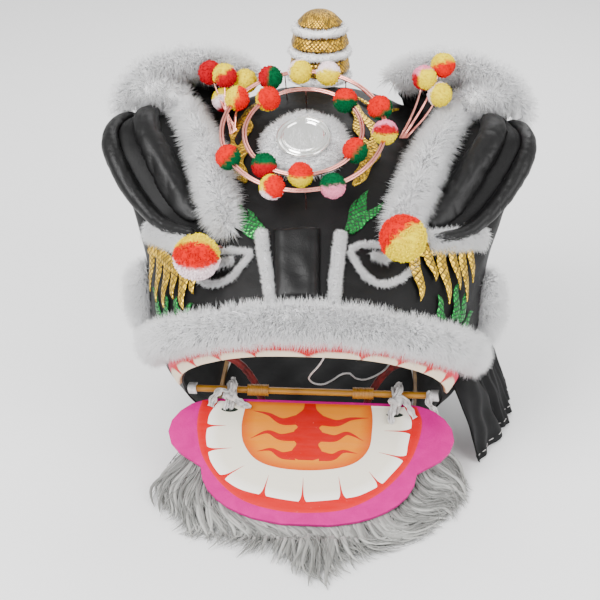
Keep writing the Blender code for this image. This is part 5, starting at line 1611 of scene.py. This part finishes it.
@dataclass
class JawBoard:
    """The jaw board: gloss pink, with a red band, a row of cream teeth and an orange tongue with
    red flames painted on it in thin layers, and dark lenses of painted shade over its two slots."""

    red: list = field(default_factory=lambda: [
        (-0.176, 0.019), (-0.180, 0.045), (-0.178, 0.080), (-0.165, 0.126), (-0.136, 0.170), (-0.098, 0.202),
        (-0.048, 0.218), (0.004, 0.221), (0.060, 0.212), (0.110, 0.182), (0.147, 0.138), (0.165, 0.098),
        (0.174, 0.051), (0.166, 0.019)])
    cream: list = field(default_factory=lambda: [
        # the middle of each tooth's outer edge
        (-0.162, 0.047), (-0.163, 0.091), (-0.150, 0.138), (-0.103, 0.183), (-0.036, 0.199), (0.024, 0.199),
        (0.080, 0.187), (0.124, 0.152), (0.152, 0.092), (0.157, 0.045)])
    gaps: list = field(default_factory=lambda: [
        # the mouth of each wedge between two teeth, and its point
        ((-0.163, 0.069), (-0.134, 0.067)), ((-0.158, 0.114), (-0.121, 0.109)),
        ((-0.130, 0.164), (-0.099, 0.141)), ((-0.067, 0.193), (-0.060, 0.157)),
        ((-0.006, 0.202), (-0.007, 0.159)), ((0.054, 0.194), (0.047, 0.155)),
        ((0.110, 0.168), (0.093, 0.144)), ((0.147, 0.118), (0.107, 0.108)), ((0.156, 0.067), (0.115, 0.067))])
    tongue: list = field(default_factory=lambda: [
        (-0.104, 0.019), (-0.108, 0.045), (-0.109, 0.071), (-0.103, 0.100), (-0.083, 0.128), (-0.051, 0.142),
        (-0.003, 0.146), (0.045, 0.140), (0.075, 0.126), (0.092, 0.101), (0.096, 0.067), (0.096, 0.040),
        (0.093, 0.019)])
    stem: list = field(default_factory=lambda: [
        # r, left edge, right edge
        (0.020, -0.012, 0.005), (0.032, -0.014, 0.008), (0.045, -0.026, 0.020), (0.056, -0.028, 0.022),
        (0.066, -0.021, 0.013), (0.074, -0.026, 0.018), (0.088, -0.027, 0.019), (0.098, -0.021, 0.013),
        (0.108, -0.026, 0.018), (0.120, -0.030, 0.022), (0.1275, -0.016, 0.006)])
    branches: list = field(default_factory=lambda: [
        # root, two points on the way, tip
        ((-0.022, 0.052), (-0.046, 0.056), (-0.068, 0.043), (-0.093, 0.037)),
        ((0.016, 0.052), (0.040, 0.056), (0.062, 0.047), (0.090, 0.044)),
        ((-0.020, 0.083), (-0.046, 0.086), (-0.068, 0.077), (-0.093, 0.090)),
        ((0.014, 0.083), (0.038, 0.085), (0.058, 0.075), (0.083, 0.088)),
        ((-0.022, 0.119), (-0.042, 0.120), (-0.060, 0.110), (-0.081, 0.114)),
        ((0.016, 0.119), (0.036, 0.120), (0.052, 0.109), (0.074, 0.112))])
    layer: float = 0.00035

    def sheet(self, piece: Piece, outline: Array, centre: tuple[float, float], height: float, colour: str,
              rim: str | None = None, fade: float = 0.12) -> None:
        """Adds a thin painted shape: rings shrunk from the outline towards a centre, then a pole.

        Args:
            piece: takes it.
            outline: its edge as (x, r) rows.
            centre: a place inside it that sees the whole edge.
            height: its face above the board.
            colour: its colour.
            rim: the colour that it fades to at its edge, if any.
            fade: how wide the fade is, over the radius.
        """
        way = outline - np.array(centre)
        edge_rings, inner_rings = [1.0, 1.0, 0.985, 1 - fade / 2, 1 - fade], np.linspace(0.7, 0.02, 5)
        scale = np.concatenate([edge_rings, inner_rings])
        h = np.full(len(scale), height)
        h[0] = 0.0
        flat = np.array(centre) + way[None] * scale[:, None, None]
        sections = on_board(flat[..., 0], flat[..., 1], BOARD_TOP + h[:, None])
        paint = np.broadcast_to(np.array(linear(colour)), sections.shape)
        if rim:
            edge = np.clip((scale - (1 - fade)) / fade, 0, 1)[:, None, None]
            paint = paint * (1 - edge) + np.array(linear(rim)) * edge
        piece.loft(sections, paint=paint)

    def build(self) -> None:
        """Makes the board and its painted layers."""
        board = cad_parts["jaw_board"]
        for slot in board.material_slots:
            slot.material = PINK.material()
        piece = Piece("jaw_painting", Body.JAW, [BOARD_PAINT])
        self.sheet(piece, self.dense(self.red, 260), (0, 0.06), self.layer, "#c40008", "#d00a1c", fade=0.04)
        self.sheet(piece, self.teeth_outline(), (0, 0.06), 2 * self.layer, "#e9e2d0", "#fffcf2")
        self.wedges(piece, 2.6 * self.layer)
        self.sheet(piece, self.dense(self.tongue, 200), (-0.006, 0.06), 3 * self.layer, "#dc8000", "#c85000",
                   fade=0.20)
        self.flames(piece, 4 * self.layer)
        # Dark lenses over the board's two slots: painted shade where the holes show dark.
        turn = np.linspace(0, 2 * math.pi, 40, endpoint=False)
        for side in (-1, 1):
            lens = np.stack([side * 0.131 + 0.0135 * np.cos(turn),
                             0.036 + 0.0048 * np.sin(turn) * np.abs(np.sin(turn)) ** 0.4], axis=1)
            self.sheet(piece, lens, (side * 0.131, 0.036), 3 * self.layer, "#18221b")
        piece.make(outward=True, smooth_angle=35)

    @staticmethod
    def dense(corners: list, count: int) -> Array:
        """An open outline made dense, its two ends joined straight.

        Args:
            corners: (x, r) points that the outline passes through.
            count: how many points its curve gets.

        Returns:
            The outline as (x, r) rows.
        """
        line = smooth(corners, count)
        back = np.linspace(line[-1], line[0], 40)[1:-1]
        return np.vstack([line, back])

    def teeth_outline(self) -> Array:
        """The edge of the teeth: a shallow scallop for each, closed straight behind."""
        corners = [(-0.150, 0.020)]
        for crown, (mouth, _) in zip(self.cream, self.gaps):
            corners += [crown, mouth]
        corners += [self.cream[-1], (0.146, 0.020)]
        return self.dense(corners, 420)

    def wedges(self, piece: Piece, height: float) -> None:
        """The red wedges between teeth.

        A wedge's half width is a wide flare at its mouth, which rounds the crowns' corners, and a thin
        line from there to its point.

        Args:
            piece: takes them.
            height: their faces above the board.
        """
        s = np.linspace(0, 1, 24)[:, None]
        for mouth, point in self.gaps:
            mouth, point = np.array(mouth), np.array(point)
            start = mouth - unit(point - mouth) * 0.003
            path = start + (point - start) * s
            way = unit(point - mouth)
            side = np.array([-way[1], way[0]])
            half = 0.0066 * (1 - s) ** 7 + 0.0018 * (1 - s) + 0.0001
            self.strip(piece, path + side * half, path - side * half, height, linear("#c40008"))

    def flames(self, piece: Piece, height: float) -> None:
        """The red stem and its six wavy branches, as strips that taper to points."""
        red = linear("#b80400")
        table = smooth(self.stem, 60)
        left = np.stack([table[:, 1], table[:, 0]], axis=1)
        right = np.stack([table[:, 2], table[:, 0]], axis=1)
        self.strip(piece, left, right, height, red)
        for number, branch in enumerate(self.branches):
            path = smooth(branch, 30)
            s = np.linspace(0, 1, 30)[:, None]
            way = unit(np.gradient(path, axis=0))
            side = np.stack([-way[:, 1], way[:, 0]], axis=1)
            half = 0.0092 * (1 - s) ** 1.15 + 0.0002
            self.strip(piece, path + side * half, path - side * half, height - 0.00002 * (number + 1), red)

    @staticmethod
    def strip(piece: Piece, left: Array, right: Array, height: float, colour: tuple) -> None:
        """Adds a thin closed strip between two lines on the board.

        Args:
            piece: takes it.
            left: one edge, as (x, r) rows.
            right: the other edge.
            height: its face above the board.
            colour: its linear colour.
        """
        c = np.linspace(0, 1, 5)[:, None]
        flat = left[:, None] * (1 - c) + right[:, None] * c
        top = on_board(flat[..., 0], flat[..., 1], BOARD_TOP + height)
        low = on_board(flat[..., 0], flat[..., 1], BOARD_TOP)
        piece.loft(closed_band(top, low), paint=colour)


# Its second colour is painted shade in the creases, as for every cloth.
PINK = Cloth("gloss_pink_paint", "pink_board", "#cc0084", "#bc0078", 0.40, 0.0, 3.0, 30.0, 0.0004, 0.2)


@dataclass
class MouthBar:
    """The bamboo bar with its bound spacers, and the cotton ties and loops that hold it."""

    turns: int = 13
    tails: dict = field(default_factory=lambda: {
        # x off the slot's middle, r and h on the board
        "left": [
            [(0.0, 0.018, 0.010), (0.010, 0.024, 0.006), (0.022, 0.030, 0.001), (0.034, 0.034, -0.001)],
            [(-0.002, 0.014, 0.012), (-0.014, 0.012, 0.014), (-0.026, 0.022, 0.004), (-0.030, 0.034, -0.002)],
            [(0.002, 0.016, 0.012), (0.006, 0.004, 0.020), (0.002, -0.006, 0.016), (-0.004, -0.010, 0.004)]],
        "right": [
            [(0.0, 0.020, 0.010), (-0.004, 0.032, 0.004), (-0.006, 0.044, 0.0), (-0.006, 0.056, -0.002)],
            [(0.002, 0.016, 0.012), (0.014, 0.018, 0.012), (0.024, 0.034, 0.004), (0.032, 0.044, -0.001)],
            [(0.0, 0.014, 0.012), (0.008, 0.002, 0.020), (0.004, -0.008, 0.014), (-0.002, -0.010, 0.004)]]})

    def build(self) -> None:
        """Makes the bar, the bindings, the loops and the ties."""
        self.bar()
        for word, middle in (("left", -0.088), ("right", 0.080)):
            self.binding(word, middle)
        for word, side in SIDES.items():
            self.loop(word, side)
            self.tie(word, side)

    def bar(self) -> None:
        """A cane with two swollen joints."""
        s = np.linspace(-1, 1, 160)
        path = np.stack([s * BAR_HALF_LENGTH, 0 * s + BAR_Y, 0 * s + BAR_Z], axis=1)
        joint = np.exp(-((s + 0.42) / 0.012) ** 2) + np.exp(-((s - 0.58) / 0.012) ** 2)
        piece = Piece("bamboo_cane", Body.JAW, [CANE])
        piece.loft(tube(path, BAR_RADIUS * (1 + 0.08 * joint), 18))
        stand_for(piece, "bamboo_bar")

    def binding(self, word: str, middle: float) -> None:
        """A spacer of cord wound round the bar: a sleeve whose radius ripples once a turn."""
        x = np.linspace(middle - 0.0168, middle + 0.0168, 8 * self.turns)
        turn = np.linspace(0, 2 * math.pi, 24, endpoint=False)
        phase = 2 * math.pi * self.turns * (x - x[0])[:, None] / (x[-1] - x[0]) + turn
        outer = 0.0088 + 0.0007 * np.abs(np.cos(phase / 2))

        def rings(r: Array) -> Array:
            """Circles round the bar, one at each x."""
            y, z = BAR_Y + r * np.cos(turn), BAR_Z + r * np.sin(turn)
            return np.stack([x[:, None] + 0 * turn, y, z], axis=-1)

        inner = rings(np.full(outer.shape, BAR_RADIUS + 0.0006))
        piece = Piece(f"bar_binding_{word}", Body.JAW, [BINDING])
        sections = np.concatenate([rings(outer), inner[::-1]], axis=0)
        piece.loft(sections, loop=True, size=(0.09, 0.055))
        stand_for(piece, f"bar_wrap_{word}")

    def ribbon(self, piece: Piece, path: list, width: float, seed: int, thick: float = 0.0010,
               up: Any = (0, 0, 1)) -> None:
        """Adds a crumpled cotton strip along a path.

        Its section is a line across the path that waves along its width and turns a little with
        the way along it.

        Args:
            piece: takes it.
            path: its middle line.
            width: its width.
            seed: picks its crumples.
            thick: its thickness.
            up: the way that its face looks, as near as it can.
        """
        line = smooth(path, 32)
        way = unit(np.gradient(line, axis=0))
        across = unit(np.cross(way, np.asarray(up, float)))
        face = np.cross(across, way)
        s = np.linspace(0, 1, 32)[:, None]
        c = np.linspace(-1, 1, 9)
        turn = 0.5 * np.sin(5 * s + seed)
        squeeze = 0.62 + 0.38 * np.sin(3 * math.pi * s + seed) ** 2
        flat = c * width / 2 * squeeze
        wave = 0.0016 * np.sin(c * 7 + 6 * s + seed) + 0.0012 * np.sin(c * 11 - 9 * s)
        x = flat * np.cos(turn) - wave * np.sin(turn)
        y = flat * np.sin(turn) + wave * np.cos(turn)
        surface = line[:, None] + across[:, None] * x[..., None] + face[:, None] * y[..., None]
        normal = unit(np.cross(np.gradient(surface, axis=0), np.gradient(surface, axis=1)))
        piece.loft(closed_band(surface + normal * thick / 2, surface - normal * thick / 2))

    def loop(self, word: str, side: int) -> None:
        """The cotton loop at the mouth's corner, with a loose end over the bar's end."""
        piece = Piece(f"bar_loop_{word}_cotton", Body.HEAD, [WHITE_COTTON])
        low, high = corners_of(f"bar_loop_{word}")
        x = (low[0] + high[0]) / 2
        turn = np.linspace(0, 2 * math.pi, 40, endpoint=False)
        r = 0.0085 + 0.0006 * np.sin(3 * turn)
        y, z = BAR_Y + r * np.cos(turn), BAR_Z + r * np.sin(turn)
        path = np.stack([x + 0.0008 * np.sin(2 * turn), y, z], axis=1)
        radial = unit(path - np.array([x, BAR_Y, BAR_Z]))
        half = np.array([1.0, 0, 0]) * 0.0065
        ring = np.stack([path - half + radial * 0.0005, path + half + radial * 0.0008,
                         path + half - radial * 0.0014, path - half - radial * 0.0014], axis=1)
        piece.loft(ring, loop=True)
        if side > 0:
            tail = [(x - 0.006, BAR_Y - 0.004, BAR_Z + 0.010), (x - 0.010, BAR_Y - 0.010, BAR_Z + 0.004),
                    (x - 0.008, BAR_Y - 0.013, BAR_Z - 0.008), (x + 0.002, BAR_Y - 0.017, BAR_Z - 0.020),
                    (x + 0.005, BAR_Y - 0.018, BAR_Z - 0.026)]
            self.ribbon(piece, tail, 0.010, 4, up=(0, -1, 0))
        stand_for(piece, f"bar_loop_{word}")

    def tie(self, word: str, side: int) -> None:
        """The cotton tie: strips looped over the bar and through the board's slot, with a knot and tails."""
        piece = Piece(f"tie_{word}_cotton", Body.JAW, [WHITE_COTTON])
        x = side * 0.131
        around = [(-0.0087, 0.001), (-0.003, 0.0088), (0.010, 0.0065), (0.024, -0.001), (0.0348, -0.0050),
                  (0.0348, -0.0150), (0.014, -0.0180), (-0.006, -0.0135)]
        for offset, seed in ((-0.004, 1), (0.004, 2)):
            p = np.array(around + around[:1])
            path = on_board(x + offset + 0.002 * np.sin(np.arange(len(p))), p[:, 0], p[:, 1])
            self.ribbon(piece, path, 0.009, seed, up=(0.3, -0.4, 1))
        knot = on_board(x, 0.020, 0.0085)
        turn = np.linspace(0, 2 * math.pi, 12, endpoint=False)
        lump = knot + np.stack([0.008 * np.cos(turn), 0.004 * np.sin(turn), 0.004 * np.sin(2 * turn)], axis=1)
        piece.loft(tube(lump, 0.0038, 10, loop=True, up=(0, 0, 1)), loop=True)
        for seed, tail in enumerate(self.tails[word]):
            p = np.array(tail)
            self.ribbon(piece, on_board(x + p[:, 0], p[:, 1], p[:, 2]), 0.013, seed + 3, up=(0, -0.35, 1))
        stand_for(piece, f"tie_{word}")


@dataclass
class Beard:
    """The long wavy hair under the jaw board: broad locks with fine strands over them."""

    locks: int = 230
    strands: int = 800
    roots: list = field(default_factory=lambda: [
        # x, r on the board
        (-0.200, 0.060), (-0.185, 0.118), (-0.150, 0.165), (-0.105, 0.200), (-0.050, 0.216), (0.000, 0.220),
        (0.045, 0.216), (0.095, 0.202), (0.145, 0.168), (0.182, 0.120), (0.200, 0.060)])
    tips: list = field(default_factory=lambda: [
        # x, y on the floor
        (-0.222, -0.270), (-0.240, -0.330), (-0.212, -0.392), (-0.150, -0.432), (-0.075, -0.450),
        (0.000, -0.462),
        (0.050, -0.505), (0.095, -0.450), (0.165, -0.405), (0.228, -0.338), (0.262, -0.240)])

    def paths(self, count: int, steps: int, random: np.random.Generator, stray: float) -> tuple[Array, Array]:
        """Middle lines of locks.

        A lock leaves its root under the board, runs to the floor on a quadratic curve and sways
        across its way as a sine that grows towards the tip.

        Args:
            count: how many locks.
            steps: points along each.
            random: the source of chance.
            stray: how far neighbours part.

        Returns:
            The lines, and how full each one is.
        """
        u = np.sort(random.random(count))
        tip_at = np.clip(u + random.normal(0.17, 0.05, count) * np.sin(math.pi * u), 0, 1)
        board = smooth(self.roots, 200)[(u * 199).astype(int)]
        inward = 0.006 + 0.02 * random.random(count)
        root = on_board(board[:, 0] * 0.96, board[:, 1] - inward, BOARD_TOP - 0.013)
        tip = smooth(self.tips, 200)[(tip_at * 199).astype(int)] + [0, SHIFT[1]]
        tip = np.column_stack([tip, 0.004 + 0.004 * random.random(count)])
        short = random.uniform(0.78, 1.0, count)[:, None]
        tip[:, :2] = root[:, :2] + (tip[:, :2] - root[:, :2]) * short
        middle = (root + tip) / 2
        away = unit(tip - root)
        side = np.stack([-away[:, 1], away[:, 0], 0 * away[:, 0]], axis=1)
        belly = np.where(root[:, 0] < 0, 1.0, -1.0)[:, None] * random.uniform(0.005, 0.035, (count, 1))
        middle = middle + side * belly
        middle[:, 2] = 0.010 + 0.014 * random.random(count)
        s = np.linspace(0, 1, steps)[None, :, None]
        line = root[:, None] * (1 - s) ** 2 + 2 * middle[:, None] * s * (1 - s) + tip[:, None] * s**2
        waves = random.uniform(0.85, 1.15, count)[:, None]
        sway = np.sin(2 * math.pi * waves * s[..., 0] + 11 * u[:, None] + random.uniform(0, 0.8, (count, 1)))
        reach = (0.004 + 0.024 * s[..., 0]) * random.uniform(0.5, 1.2, (count, 1))
        line = line + side[:, None] * (sway * reach)[..., None]
        line = line + stray * np.cumsum(random.normal(size=line.shape), axis=1) / math.sqrt(steps)
        below = BAR_Z + (BOARD_TOP - 0.005) / math.cos(JAW_SLOPE)
        under = below + (line[..., 1] - BAR_Y) * math.tan(JAW_SLOPE)
        roof = np.where(line[..., 1] > on_board(0, 0.262)[1], under - 0.004, 1.0)
        line[..., 2] = np.clip(line[..., 2], 0.0025, np.maximum(roof, 0.0025))
        return line, random.uniform(0.6, 1.0, count)

    def build(self) -> None:
        """Makes the locks and the strands."""
        random = np.random.default_rng(77)
        piece = Piece("beard_hair", Body.JAW, [GREY_HAIR])
        lines, full = self.paths(self.locks, 18, random, 0.0006)
        self.fibres(piece, lines, 0.0046 * full, 6, 0.45, random)
        lines, full = self.paths(self.strands, 12, random, 0.0022)
        self.fibres(piece, lines, 0.0009 * full, 3, 1.0, random)
        stand_for(piece, "beard", fur=True)

    def fibres(self, piece: Piece, lines: Array, radius: Array, sides: int, flat: float,
               random: np.random.Generator) -> None:
        """Adds tapering tubes along many lines at once.

        Args:
            piece: takes them.
            lines: middle lines, as lines by steps by 3.
            radius: the widest radius of each.
            sides: corners of a section.
            flat: the section's height over its width.
            random: the source of chance.
        """
        n, steps = lines.shape[:2]
        way = unit(np.gradient(lines, axis=1))
        across = unit(np.cross(way, [0, 0, 1.0]))
        above = np.cross(across, way)
        s = np.linspace(0, 1, steps)
        taper = np.sin(math.pi * np.clip(0.10 + 0.90 * s, 0, 0.995)) ** 0.55
        turn = np.linspace(0, 2 * math.pi, sides, endpoint=False)
        ring = across[:, :, None] * np.cos(turn)[:, None] + above[:, :, None] * flat * np.sin(turn)[:, None]
        points = lines[:, :, None] + ring * (radius[:, None] * taper)[..., None, None]
        points[..., 2] = np.maximum(points[..., 2], 0.0006)
        first = (np.arange(n) * steps * sides)[:, None, None]
        faces = (first + grid_faces(steps, sides)[None]).reshape(-1, 4)
        # Each lock or strand gets a random shade, and painted shade from 0.75 at its root under the board to
        # full at its tip.
        shade = random.uniform(0.15, 1.0, (n, 1, 1)) * (0.75 + 0.25 * s)[None, :, None]
        ridge = 1 - 0.35 * (np.cos(turn * 3)[None, None] > 0.3)
        shade = np.clip(shade * ridge + 0.08, 0, 1)
        start = piece.total
        piece.add(points.reshape(-1, 3), faces, paint=np.repeat(shade.reshape(-1, 1), 3, axis=1))
        k = np.arange(1, sides - 1)
        root = np.stack([0 * k, k + 1, k], axis=-1)
        tip = np.stack([0 * k, k, k + 1], axis=-1) + (steps - 1) * sides
        caps = (first + np.concatenate([root, tip])).reshape(-1, 3) + start
        piece.faces.append((caps, np.zeros(caps.shape + (2,)), 0))


@dataclass
class Cloths:
    """The black neck cloth: the drape at the right and what lies folded inside the hoop."""

    count: int = 120
    rows: int = 31
    folds: int = 5
    cloth: float = 0.002
    collar_coat: Coat = Coat(2000, 0.018, 0.0013)

    def build(self) -> None:
        """Makes both cloths."""
        self.drape()
        self.floor()

    def drape(self) -> None:
        """The drape: a line on the head's side carried out and down, waved at its hem."""
        t = np.linspace(0.30, 7.2, self.count)
        a = 1.30 - 0.30 * np.clip((1.6 - t) / 1.3, 0, 1)
        top = HEAD.lifted(t, a, self.cloth / 2 + 0.0020)
        outward = unit(HEAD.normal(t, a) * [1, 1, 0])
        s = np.linspace(0, 1, self.count)[:, None]
        v = np.linspace(0, 1, self.rows)
        wave = 0.009 * np.cos(2 * math.pi * self.folds * s) + 0.004 * np.sin(2 * math.pi * 11 * s + 3 * v)
        out = (0.045 + 0.055 * s) * v**0.8 + wave * v
        surface = top[:, None] + outward[:, None] * out[..., None]
        surface[..., 2] = top[:, None, 2] * (1 - v) + 0.0030 * v
        normal = unit(np.cross(np.gradient(surface, axis=1), np.gradient(surface, axis=0)))
        surface = surface + normal * (ripple(surface, 0.06, 31) * 0.003 * np.sin(math.pi * v))[..., None]
        hem = 1 + 0.9 * (np.abs(v - 0.93) < 0.03)
        half = normal * (self.cloth / 2 * hem)[:, None]
        piece = Piece("neck_drape_cloth", Body.HEAD, [BLACK_COTTON, WHITE_COTTON])
        piece.loft(closed_band(surface + half, surface - half))
        stitch = surface[:, 28] + normal[:, 28] * 0.0022
        for start in range(2, self.count - 4, 4):
            piece.loft(tube(stitch[start : start + 3], 0.0005, 5, up=(1, 0, 0)), finish=1)
        obj = stand_for(piece, "neck_drape")
        self.declare(obj, surface, "hung", ["head_shell"])
        line = HEAD.lifted(np.linspace(2.3, 5.6, 40), np.full(40, 1.12), 0.022)
        collar = Piece("neck_collar_pile", Body.HEAD, [WHITE_FUR, RED_TAPE])
        FurTrim.roll(collar, line, 0.016, self.collar_coat, np.random.default_rng(91))
        collar.loft(tube(line - [0, 0.010, 0.013], 0.006, 8, flat=0.5, up=(1, 0, 0)), finish=1)
        stand_for(collar, "neck_drape", fur=True)

    def floor(self) -> None:
        """The folded cloth on the floor inside the hoop."""
        y = np.linspace(-0.110, 0.200, 64)
        reach = HOOP_HALF_WIDTH - 0.0084 - 1.4 * (y - HOOP_CENTRE_Y) ** 2
        xx = np.linspace(-1, 1, 70)[:, None] * reach
        yy = np.broadcast_to(y, xx.shape) + SHIFT[1]
        edge = np.sin(math.pi * np.linspace(0, 1, 64))
        sides = np.sin(math.pi * np.linspace(0, 1, 70))[:, None]
        fold = (1 + np.sin(xx * 55 + yy * 20)) * 0.004 + (1 + np.sin(xx * 90 - yy * 60)) * 0.0018
        z = 0.0012 + self.cloth / 2 + fold * edge * sides**0.3
        surface = np.dstack([xx, yy, z])
        surface += align("neck_cloth", surface) * [1, 1, 0]
        half = np.array([0, 0, self.cloth / 2])
        piece = Piece("neck_cloth_folds", Body.HEAD, [BLACK_COTTON])
        piece.loft(closed_band(surface + half, surface - half))
        obj = stand_for(piece, "neck_cloth")
        self.declare(obj, surface, "laid", ["base_hoop"])

    @staticmethod
    def declare(obj: bpy.types.Object, surface: Array, held: str, rests_on: list[str]) -> None:
        """Takes a cloth and does nothing with it.

        Args:
            obj: the cloth; not used.
            surface: its middle surface, as a grid of points; not used.
            held: how it is held; not used.
            rests_on: the solids that hold it; not used.
        """


@dataclass
class MouthString:
    """The thin white string that hangs in the mouth, a free cord that ends at the right strut."""

    points: int = 60

    def build(self) -> None:
        """Makes the string as a round tube along its route."""
        route = smooth(np.array(STRING_ROUTE) + SHIFT, self.points)
        data = bpy.data.curves.new("mouth_string", "CURVE")
        data.dimensions = "3D"
        data.bevel_depth = STRING_RADIUS
        data.bevel_resolution = 2
        data.use_fill_caps = True
        spline = data.splines.new("POLY")
        spline.points.add(len(route) - 1)
        spline.points.foreach_set("co", np.column_stack([route, np.ones(len(route))]).ravel())
        data.materials.append(WHITE_COTTON.material())
        obj = linked("mouth_string", data)
        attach(obj, Body.HEAD.value)
        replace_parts(obj, "pull_string")


@dataclass
class Struts:
    """The two struts inside the mouth, wound with red cloth tape."""

    radius: float = 0.0065
    turns: int = 14

    def build(self) -> None:
        """Makes both struts: a tube whose radius steps up once a turn of the tape."""
        for word, side in SIDES.items():
            path = smooth([(side * x, y + SHIFT[1], z) for x, y, z in STRUT_ROUTE], 150)
            s = np.linspace(0, 1, 150)[:, None]
            sections = tube(path, self.radius, 16, up=(0, 1, 0))
            turn = np.arange(16) / 16
            step = 0.90 + 0.10 * ((s * self.turns + turn) % 1)
            sections = path[:, None] + (sections - path[:, None]) * step[..., None]
            sections += align(f"mouth_strut_{word}", sections)
            piece = Piece(f"mouth_strut_{word}_taped", Body.HEAD, [RED_TAPE])
            piece.loft(sections)
            stand_for(piece, f"mouth_strut_{word}")


def view_axes() -> Array:
    """The camera's right, up and backward axes as columns."""
    rise, turn = CAMERA_RISE, CAMERA_TURN
    back = np.array([math.sin(turn) * math.cos(rise), -math.cos(turn) * math.cos(rise), math.sin(rise)])
    right = unit(np.cross(-back, [0.0, 0.0, 1.0]))
    return np.stack([right, np.cross(right, -back), back], axis=1)


@dataclass
class Studio:
    """A pale floor, soft lights and the camera."""

    def camera(self) -> None:
        """Places the camera."""
        data = bpy.data.cameras.new("camera")
        data.sensor_width = 36
        data.lens = 82.5
        obj = linked("camera", data)
        obj.matrix_world = Matrix.Translation(CAMERA_PLACE) @ Matrix(view_axes().tolist()).to_4x4()
        bpy.context.scene.camera = obj

    def lights(self) -> None:
        """A broad key from the upper left front, a fill from the right and a rim from behind."""
        for name, place, size, power in (
            ("key", (-1.4, -1.8, 2.4), 1.6, 150),
            ("fill", (1.9, -1.5, 1.5), 1.8, 60),
            ("rim", (0.3, 1.9, 2.2), 1.5, 45),
        ):
            data = bpy.data.lights.new(name, "AREA")
            data.size = size
            data.energy = power
            obj = linked(name, data)
            back = unit(np.array(place) - [0, 0, 0.25])
            right = unit(np.cross([0, 0, 1.0], back))
            turned = np.stack([right, np.cross(back, right), back], axis=1)
            obj.matrix_world = Matrix.Translation(place) @ Matrix(turned.tolist()).to_4x4()
        world = bpy.data.worlds.new("studio")
        world.use_nodes = True
        world.node_tree.nodes["Background"].inputs[0].default_value = (1, 1, 1, 1)
        world.node_tree.nodes["Background"].inputs[1].default_value = 1.2
        bpy.context.scene.world = world

    def floor(self) -> None:
        """A wide pale floor."""
        mesh = bpy.data.meshes.new("floor")
        mesh.from_pydata([(-6, -6, 0), (6, -6, 0), (6, 6, 0), (-6, 6, 0)], [], [(0, 1, 2, 3)])
        s = Shader("pale_floor", Base_Color=(0.86, 0.86, 0.86, 1.0), Roughness=0.9)
        mesh.materials.append(s.made)
        obj = linked("floor", mesh)


def dress_hoop() -> None:
    """Gives the base hoop, whose shape stays, its cane."""
    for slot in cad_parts["base_hoop"].material_slots:
        slot.material = HOOP_CANE.material()


def main() -> None:
    """Builds every piece in order."""
    logging.basicConfig(level=logging.INFO, format="%(message)s")
    studio = Studio()
    studio.camera()
    MouthString().build()
    HeadCover().build()
    Ears().build()
    Padding().build()
    Face().build()
    Lip().build()
    SequinTrim().build()
    ForeheadMirror().build()
    Pompoms().build()
    Horn().build()
    JawBoard().build()
    MouthBar().build()
    Struts().build()
    Cloths().build()
    Beard().build()
    FurTrim().build()
    dress_hoop()
    studio.lights()
    studio.floor()
    shown = [o for o in bpy.data.objects if o.type == "MESH" and not o.hide_render]
    LOG.info("%d triangles shown", sum(len(p.vertices) - 2 for o in shown for p in o.data.polygons))


if __name__ == "__main__":
    main()
